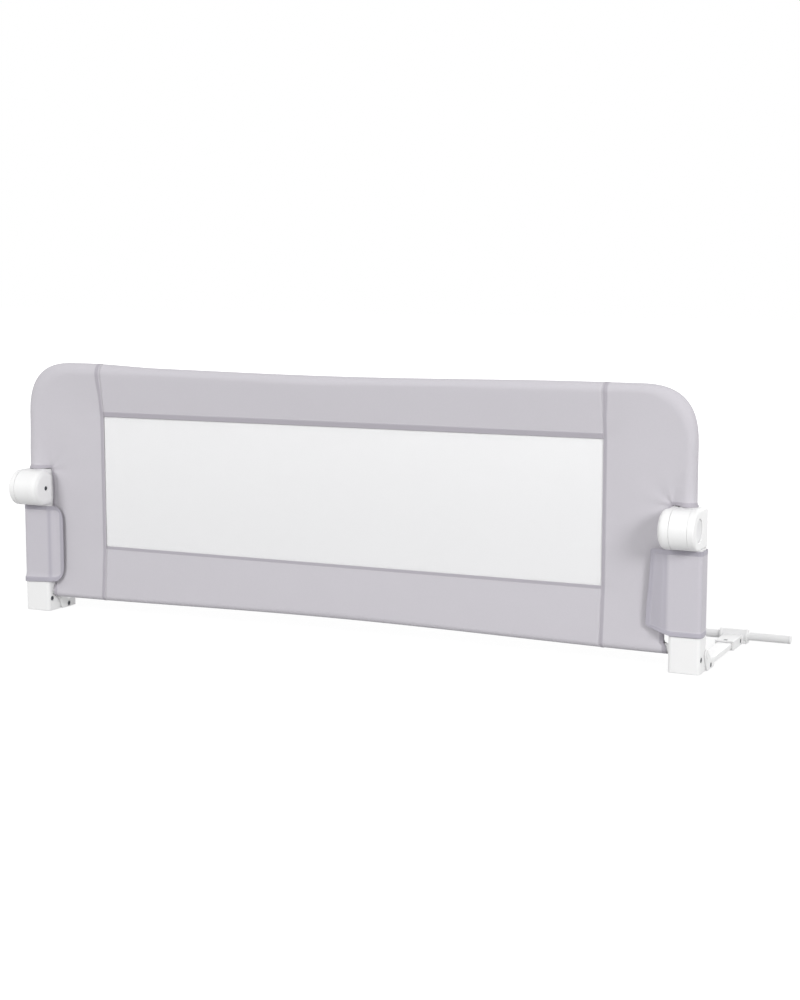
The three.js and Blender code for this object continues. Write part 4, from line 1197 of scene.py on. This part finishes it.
# a leg's outline that far inside its outer face
def legOutline(inset, corner, steps=8):
    low, high = (legLow.x + inset, legLow.y + inset), (legHigh.x - inset, legHigh.y - inset)
    return roundedOutline(low, high, corner, steps)


# the part of a leg's plug that stands inside the tube
def legPlug(low, high):
    return prism("z", legOutline(leg["wall"] + seat, leg["plugCorner"], 6), low, high)


def makeFork():
    innerFace, outerFace = tongueLow.x - seat, tongueHigh.x + seat
    webFace, floor, mouth = innerFace - hinge["web"], outerFace + hinge["floor"], hinge["mouth"]
    full = barrelOutline()
    piece = addPiece("fork", sliced(barrelEnd(), forkLow.x, False), whitePlastic)
    join(piece, prism("x", full, webFace, innerFace))
    join(piece, roundAt(prism("x", full, outerFace, forkHigh.x), "x", forkHigh.x, hinge["outerFillet"], 5))
    saddleHigh = (forkHigh.x - hinge["outerFillet"], forkHigh.y, foldAxis[1] - seat)
    saddle = addPiece("saddle", box((webFace, foldAxis[0], endLow.z), saddleHigh), whitePlastic)
    cut(saddle, rod("x", barrelRadius + seat, innerFace, outerFace, foldAxis, 96))
    combine(piece, saddle, "UNION")
    join(piece, legPlug(forkLow.z, endLow.z + beyond))
    wellRadius = (buttonHigh.z - buttonLow.z) / 2 + hinge["buttonSpread"] + seat
    outside = forkHigh.x + beyond
    cut(piece, turned("x", [(0, floor), (wellRadius, floor), (wellRadius, forkHigh.x - mouth),
                            (wellRadius + mouth + beyond, outside), (0, outside)], foldAxis))
    cut(piece, prism("x", toothedOutline(), outerFace - seat, floor + mouth))
    cut(piece, rod("x", hinge["axleHole"], forkLow.x - mouth, outerFace, foldAxis))
    cut(piece, rod("x", hinge["axleHead"], forkLow.x - mouth, forkLow.x + hinge["axleHeadDepth"], foldAxis))
    finishPair(piece, "hinge_fork", "lower_frame")


def makeEndCover():
    radius, depth = recess["screw"]
    lip = 0.4 * mm
    piece = addPiece("endCover", sliced(barrelEnd(), endHigh.x, True), whitePlastic)
    before, after, floor = endLow.x - beyond, endHigh.x + beyond, endLow.x + depth
    profile = [(0, before), (radius + lip + beyond, before), (radius, endLow.x + lip), (radius, floor),
               (recess["shank"], floor), (recess["shank"], after), (0, after)]
    cut(piece, turned("x", profile, foldAxis, 48))
    finishPair(piece, "hinge_end_cover", "lower_frame")


def makeTongue():
    radius, back = barrelRadius - seat, tongueHigh.y
    low, top, corner = foldAxis[1] + seat, foldAxis[1] + radius, hinge["topCorner"]
    outline = arcPoints(foldAxis, radius, quarter, 4 * quarter + math.asin(seat / radius), 84)
    outline += [(back, low)] + arcPoints((back - corner, top - corner), corner, 0, quarter, 8)
    piece = addPiece("tongue", prism("x", outline, tongueLow.x, tongueHigh.x), whitePlastic)
    roundEdges(piece, hinge["edge"], 2)
    tubePlace = (tubeX, panelY)
    collar = rod("z", hinge["collarRadius"], top - beyond, tongueHigh.z, tubePlace)
    join(piece, roundAt(collar, "z", tongueHigh.z, hinge["mouth"], 3))
    cut(piece, rod("z", hinge["tubeHole"], foldAxis[1] + hinge["tubeFloor"], tongueHigh.z + beyond, tubePlace))
    cut(piece, rod("x", hinge["axleHole"], tongueLow.x - beyond, tongueHigh.x + beyond, foldAxis))
    cut(piece, rod("x", hinge["lockBore"], hinge["lockBoreFrom"], tongueHigh.x + beyond, foldAxis))
    radius, depth = recess["screw"]
    cut(piece, rod("y", radius, back - depth, back + beyond, middleOf("tongue_screw_right", "y"), 48))
    finishPair(piece, "hinge_tongue", "upper_frame")


def makeButton():
    size = {"edge": 0.9 * mm, "dish": 1.3 * mm, "rim": 2.4 * mm, "hub": 6.8 * mm, "thickness": 3.4 * mm}
    radius, face = (buttonHigh.z - buttonLow.z) / 2 + hinge["buttonSpread"], buttonHigh.x
    edge, flatRadius, back = size["edge"], radius - size["rim"], face - size["thickness"]
    profile = [(flatRadius * k / 8, face - size["dish"] * (1 - (k / 8) ** 3)) for k in range(9)]
    profile += reversed(arcPoints((radius - edge, face - edge), edge, 0, quarter, 4))
    profile += [(radius, back + edge), (radius - edge, back), (size["hub"], back), (size["hub"], buttonLow.x),
                (hinge["axleHole"], buttonLow.x), (hinge["axleHole"], back), (0, back)]
    piece = addPiece("button", turned("x", profile, foldAxis, 72), greyPlastic)
    finishPair(piece, "release_button", "button_{}")


# the coil behind each lock slider, pressed together as the button goes in
def makeSpring():
    size = {"wire": 0.7 * mm, "turns": 5, "steps": 24, "round": 10, "travel": 2.8 * mm}
    low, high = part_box("lock_spring_right")
    middle, wire, steps = (low + high) / 2, size["wire"], size["steps"]
    radius, start, end = (high.z - low.z) / 2 - wire, low.x + wire, high.x - wire
    count = size["turns"] * steps
    slope = math.atan2((end - start) / size["turns"], 4 * quarter * radius)
    ringTurns = [4 * quarter * j / size["round"] for j in range(size["round"])]
    bm = bmesh.new()
    rings = []
    for k in range(count + 1):
        turn = 4 * quarter * k / steps
        outward = Vector((0, math.cos(turn), math.sin(turn)))
        sideways = Vector((math.cos(slope), math.sin(slope) * math.sin(turn), -math.sin(slope) * math.cos(turn)))
        centre = Vector((mixed(start, end, k / count), middle.y, middle.z)) + outward * radius
        rings.append([bm.verts.new(centre + (outward * math.cos(a) + sideways * math.sin(a)) * wire)
                      for a in ringTurns])
    for near, far in zip(rings, rings[1:]):
        for j in range(len(near)):
            bm.faces.new((near[j - 1], near[j], far[j], far[j - 1]))
    bm.faces.new(rings[0])
    bm.faces.new(rings[-1])
    bmesh.ops.recalc_face_normals(bm, faces=bm.faces)
    piece = addPiece("spring", bm, bareSteel)
    for (way, hand), each in finishPair(piece, "lock_spring", "lower_frame"):
        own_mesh(each)


# Corner blocks and legs

def makeBlock():
    size = {"top": 54 * mm, "corner": 6 * mm, "edge": 1.1 * mm, "tubeHole": 7.3 * mm, "tubeDepth": 25 * mm,
            "pivotHole": 3.5 * mm}
    low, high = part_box("corner_block_right")
    bm = prism("z", roundedOutline((low.x, low.y), (high.x, high.y), size["corner"], 8), 0, size["top"])
    for end in (0, size["top"]):
        roundAt(bm, "z", end, size["edge"], 3)
    piece = addPiece("block", bm, whitePlastic)
    join(piece, legPlug(size["top"] - beyond, high.z))
    start, end = low.x - beyond, high.x + beyond
    cut(piece, rod("x", size["tubeHole"], start, low.x + size["tubeDepth"], (panelY, cover["lowZ"])))
    cut(piece, rod("x", size["pivotHole"], start, end, middleOf("fold_rivet_right", "x"), 48))
    cutEnds(piece, low.x, high.x, middleOf("block_bolt_right", "x"))
    finishPair(piece, "corner_block", "lower_frame")


# the recesses for a bolt's two heads
def cutEnds(piece, low, high, centre):
    radius, depth = recess["bolt"]
    for start, end in ((low - beyond, low + depth), (high - depth, high + beyond)):
        cut(piece, rod("x", radius, start, end, centre, 48))


def makePost():
    wall, corner = leg["wall"], leg["corner"]
    piece = addPiece("post", prism("z", legOutline(0, corner), legLow.z, legHigh.z), whitePaint)
    cut(piece, prism("z", legOutline(wall, corner - wall), legLow.z - wall, legHigh.z + wall))
    for node in ("leg_screw_lower_right", "leg_screw_upper_right"):
        start, end = legHigh.y - 1.5 * wall, legHigh.y + wall
        cut(piece, rod("y", recess["screw"][0], start, end, middleOf(node, "y"), 48))
    finishPair(piece, "leg_post", "lower_frame")


# Base

armLow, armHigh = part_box("base_arm_right")


# room for the arm, from one place across the rail to another
def armRoom(start, end):
    return box((armLow.x - seat, start, armLow.z - seat), (armHigh.x + seat, end, armHigh.z + seat))


def makeBracket():
    size = {"ear": 2.6 * mm, "earRadius": 8.8 * mm, "height": 14 * mm, "heel": 1.5 * mm, "neck": 20 * mm,
            "edge": 0.7 * mm, "hole": 3.5 * mm}
    low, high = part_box("base_bracket_right")
    pivot = middleOf("fold_rivet_right", "x")
    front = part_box("corner_block_right")[1].y + seat
    outline = [(pivot[0] + size["heel"], 0), (high.y, 0), (high.y, size["height"]),
               (pivot[0] + size["neck"], size["height"])]
    outline += arcPoints(pivot, size["earRadius"], quarter / 2, 2.5 * quarter, 24)
    ears = []
    for start, end in ((low.x, low.x + size["ear"]), (high.x - size["ear"], high.x)):
        ears.append(addPiece("ear", prism("x", outline, start, end), whitePlastic))
        roundEdges(ears[-1], size["edge"])
    inset, clear = size["ear"] / 2, seat / 2  # so that no two faces lie in one plane
    body = box((low.x + inset, front, clear), (high.x - inset, high.y - clear, size["height"] - clear))
    body = addPiece("bracket", body, whitePlastic)
    roundEdges(body, size["edge"])
    for ear in ears:
        combine(body, ear, "UNION")
    cut(body, armRoom(armLow.y - seat, high.y + beyond))
    cut(body, rod("x", size["hole"], low.x - beyond, high.x + beyond, pivot, 48))
    cutEnds(body, low.x, high.x, middleOf("arm_bolt_right", "x"))
    finishPair(body, "base_bracket", "base_frame")


def makeArm():
    wall, corner = 1.5 * mm, 2 * mm
    outer = roundedOutline((armLow.x, armLow.z), (armHigh.x, armHigh.z), corner, 5)
    low, high = (armLow.x + wall, armLow.z + wall), (armHigh.x - wall, armHigh.z - wall)
    inner = roundedOutline(low, high, corner - wall, 3)
    piece = addPiece("arm", prism("y", outer, armLow.y, armHigh.y), whitePaint)
    cut(piece, prism("y", inner, armLow.y - wall, armHigh.y + wall))
    finishPair(piece, "base_arm", "base_frame")


def makeTee():
    size = {"neckHalf": 14.75 * mm, "neckHeight": 14.4 * mm, "footHalf": 7.5 * mm, "radius": 10.5 * mm,
            "waist": 0.6 * mm, "ring": 3.4 * mm, "edge": 0.8 * mm, "tubeHole": 6.7 * mm}
    low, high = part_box("tee_fitting_right")
    tubeY, tubeZ = tube = middleOf("cross_tube", "x")
    middle = (low.x + high.x) / 2
    radius, ring, edge = size["radius"], size["ring"], size["edge"]
    waist = radius - size["waist"]
    profile = [(0, low.x), (radius - edge, low.x), (radius, low.x + edge), (radius, low.x + ring),
               (waist, low.x + ring + edge), (waist, high.x - ring - edge), (radius, high.x - ring),
               (radius, high.x - edge), (radius - edge, high.x), (0, high.x)]
    piece = addPiece("tee", turned("x", profile, tube, 72), whitePlastic)
    foot = ((low.x + edge, tubeY - size["footHalf"], 0), (high.x - edge, tubeY + size["footHalf"], tubeZ))
    neck = ((middle - size["neckHalf"], low.y, 0), (middle + size["neckHalf"], tubeY, size["neckHeight"]))
    for corners in (foot, neck):
        block = addPiece("block", box(*corners), whitePlastic)
        roundEdges(block, edge)
        combine(piece, block, "UNION")
    cut(piece, armRoom(low.y - beyond, armHigh.y + seat))
    cut(piece, rod("x", size["tubeHole"], low.x - beyond, high.x + beyond, tube, 72))
    screwRadius, depth = recess["screw"]
    for axis, face in (("z", size["neckHeight"]), ("x", middle + size["neckHalf"])):
        node = {"z": "tee_top_screw_right", "x": "tee_side_screw_right"}[axis]
        cut(piece, rod(axis, screwRadius, face - depth, face + beyond, middleOf(node, axis), 48))
    finishPair(piece, "tee_fitting", "base_frame")


def makeCrossTube():
    low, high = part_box("cross_tube")
    radius, wall = (high.z - low.z) / 2, 1 * mm
    inner = radius - wall
    profile = [(inner, low.x), (radius, low.x), (radius, high.x), (inner, high.x), (inner, low.x)]
    piece = addPiece("tube", turned("x", profile, middleOf("cross_tube", "x"), 48), whitePaint)
    finishHard(piece, "cross_tube", "base_frame")
    print("cross_tube made")


def makeCap():
    low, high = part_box("cross_tube_cap_right")
    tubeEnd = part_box("cross_tube")[1].x + seat
    radius, edge = (high.z - low.z) / 2, 1.2 * mm
    plug = radius - 1.3 * mm
    profile = [(0, low.x), (plug - edge, low.x), (plug, low.x + edge), (plug, tubeEnd), (radius, tubeEnd)]
    profile += arcPoints((radius - edge, high.x - edge), edge, 0, quarter, 4) + [(0, high.x)]
    piece = addPiece("cap", turned("x", profile, middleOf("cross_tube_cap_right", "x"), 48), whitePlastic)
    finishPair(piece, "cross_tube_cap", "base_frame")


# Screws, bolts and rivets: a head on the high (1) or the low (-1) end, each with a hexagon socket

fastener = {"edge": 0.5 * mm, "socket": 1.8 * mm, "socketDepth": 1.1 * mm, "shank": 0.53, "head": 0.52}


def makeFastener(node, body, axis, heads, finish):
    low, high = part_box(node + "_right")
    index = "xyz".index(axis)
    centre = middleOf(node + "_right", axis)
    radius = (high - low)[(index + 1) % 3] / 2
    start, end = low[index], high[index]
    thick, edge, shank = radius * fastener["head"], fastener["edge"], radius * fastener["shank"]
    profile = [(0, start)]
    if -1 in heads:
        profile += [(radius - edge, start), (radius, start + edge), (radius, start + thick),
                    (shank, start + thick)]
    else:
        profile += [(shank - edge, start), (shank, start + edge)]
    if 1 in heads:
        profile += [(shank, end - thick), (radius, end - thick), (radius, end - edge), (radius - edge, end)]
    else:
        profile += [(shank, end - edge), (shank - edge, end)]
    piece = addPiece("fastener", turned(axis, profile + [(0, end)], centre, 32), finishes[finish])
    for head in heads:
        face = end if head > 0 else start
        ends = sorted((face - head * fastener["socketDepth"], face + head * beyond))
        cut(piece, rod(axis, fastener["socket"], *ends, centre, 6))
    finishPair(piece, node, body)


def makeRivet():
    size = {"bore": 1.9 * mm, "shank": 3.2 * mm, "lip": 0.8 * mm, "curl": 0.3 * mm}
    low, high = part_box("fold_rivet_right")
    flange, bore, shank, curl = (high.z - low.z) / 2, size["bore"], size["shank"], size["curl"]
    near, far = low.x + size["lip"], high.x - size["lip"]
    profile = [(bore, low.x + curl), (bore + curl, low.x), (flange - curl, low.x), (flange, low.x + curl),
               (flange, near), (shank, near), (shank, far), (flange, far), (flange, high.x - curl),
               (flange - curl, high.x), (bore + curl, high.x), (bore, high.x - curl), (bore, low.x + curl)]
    piece = addPiece("rivet", turned("x", profile, middleOf("fold_rivet_right", "x"), 40), whitePaint)
    finishPair(piece, "fold_rivet", "lower_frame")


makeCamera()
for lampName, lamp in lamps.items():
    addLamp(lampName, **lamp)
makeWorld()
makeFloor()
weaveGroup = makeWeaveGroup()
unevenGroup = makeUnevenGroup()
stitchGroup = makeStitchGroup()
# the seam colours darken hems and seams, partly as the doubled cloth's colour and partly as painted shade; the
# wraps' seam colour also paints the shade of their flaps and folds
cloth = clothMaterial("greyCloth", linear(204, 201, 207), linear(179, 175, 183), linear(191, 188, 195))
hemCloth = clothMaterial("wrapCloth", linear(203, 200, 207), linear(179, 176, 186), linear(190, 187, 196))
net = netMaterial("whiteNet", linear(247, 247, 248))
whitePlastic = plasticMaterial("whitePlastic", linear(245, 245, 245), 0.42, 0.12)
greyPlastic = plasticMaterial("buttonPlastic", linear(233, 233, 234), 0.45, 0.14)
whitePaint = paintMaterial("whitePowderCoat", linear(246, 246, 246))
bareSteel = metalMaterial("zincSteel", linear(190, 192, 196), 0.3)
darkSteel = metalMaterial("darkZinc", linear(96, 98, 103), 0.4)
print("materials made")

finishes = {
    "white_plastic": whitePlastic,
    "grey_plastic": greyPlastic,
    "white_steel": whitePaint,
    "bare_steel": bareSteel,
    "dark_steel": darkSteel,
    "fabric": cloth,
    "window_mesh": net,
}
for subpart in frame["record"]["subparts"]:
    for place in nodes[subpart["node"]].material_slots:
        place.material = finishes[subpart["material_slot"]]

topBand = makeBand("coverTopBand", True, cloth)
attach(topBand, "upper_frame")
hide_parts("cover_top_band")

bottomBand = makeBand("coverBottomBand", False, cloth)
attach(bottomBand, "lower_frame")
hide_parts("cover_bottom_band")
print("bands made")

for way, hand in hands:
    sidePanel = makeSidePanel("coverSide" + hand.title(), way, cloth)
    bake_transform(sidePanel, "lower_frame", "upper_frame", start=foldStart, end=foldEnd)
    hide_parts("cover_upper_side_" + hand, "cover_lower_side_" + hand)
    legWrap = makeLegWrap("legWrap" + hand.title(), way, hemCloth)
    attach(legWrap, "lower_frame")
    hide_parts("leg_wrap_" + hand)
print("side panels and leg wraps made")

windowNet = makeNet("windowNet", net)
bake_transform(windowNet, "lower_frame", "upper_frame", start=foldStart, end=foldEnd)
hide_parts("window_mesh_upper", "window_mesh_lower")
print("net made")

for make in (makeFork, makeEndCover, makeTongue, makeButton, makeSpring, makeBlock, makePost, makeBracket, makeArm,
             makeTee, makeCap, makeRivet, makeCrossTube):
    make()
for node, body, axis, heads, finish in (
        ("end_cover_screw", "lower_frame", "x", (-1,), "dark_steel"),
        ("tongue_screw", "upper_frame", "y", (1,), "dark_steel"),
        ("block_bolt", "lower_frame", "x", (-1, 1), "dark_steel"),
        ("arm_bolt", "base_frame", "x", (-1, 1), "dark_steel"),
        ("tee_top_screw", "base_frame", "z", (1,), "dark_steel"),
        ("tee_side_screw", "base_frame", "x", (1,), "dark_steel"),
        ("leg_screw_lower", "lower_frame", "y", (1,), "bare_steel"),
        ("leg_screw_upper", "lower_frame", "y", (1,), "bare_steel")):
    makeFastener(node, body, axis, heads, finish)
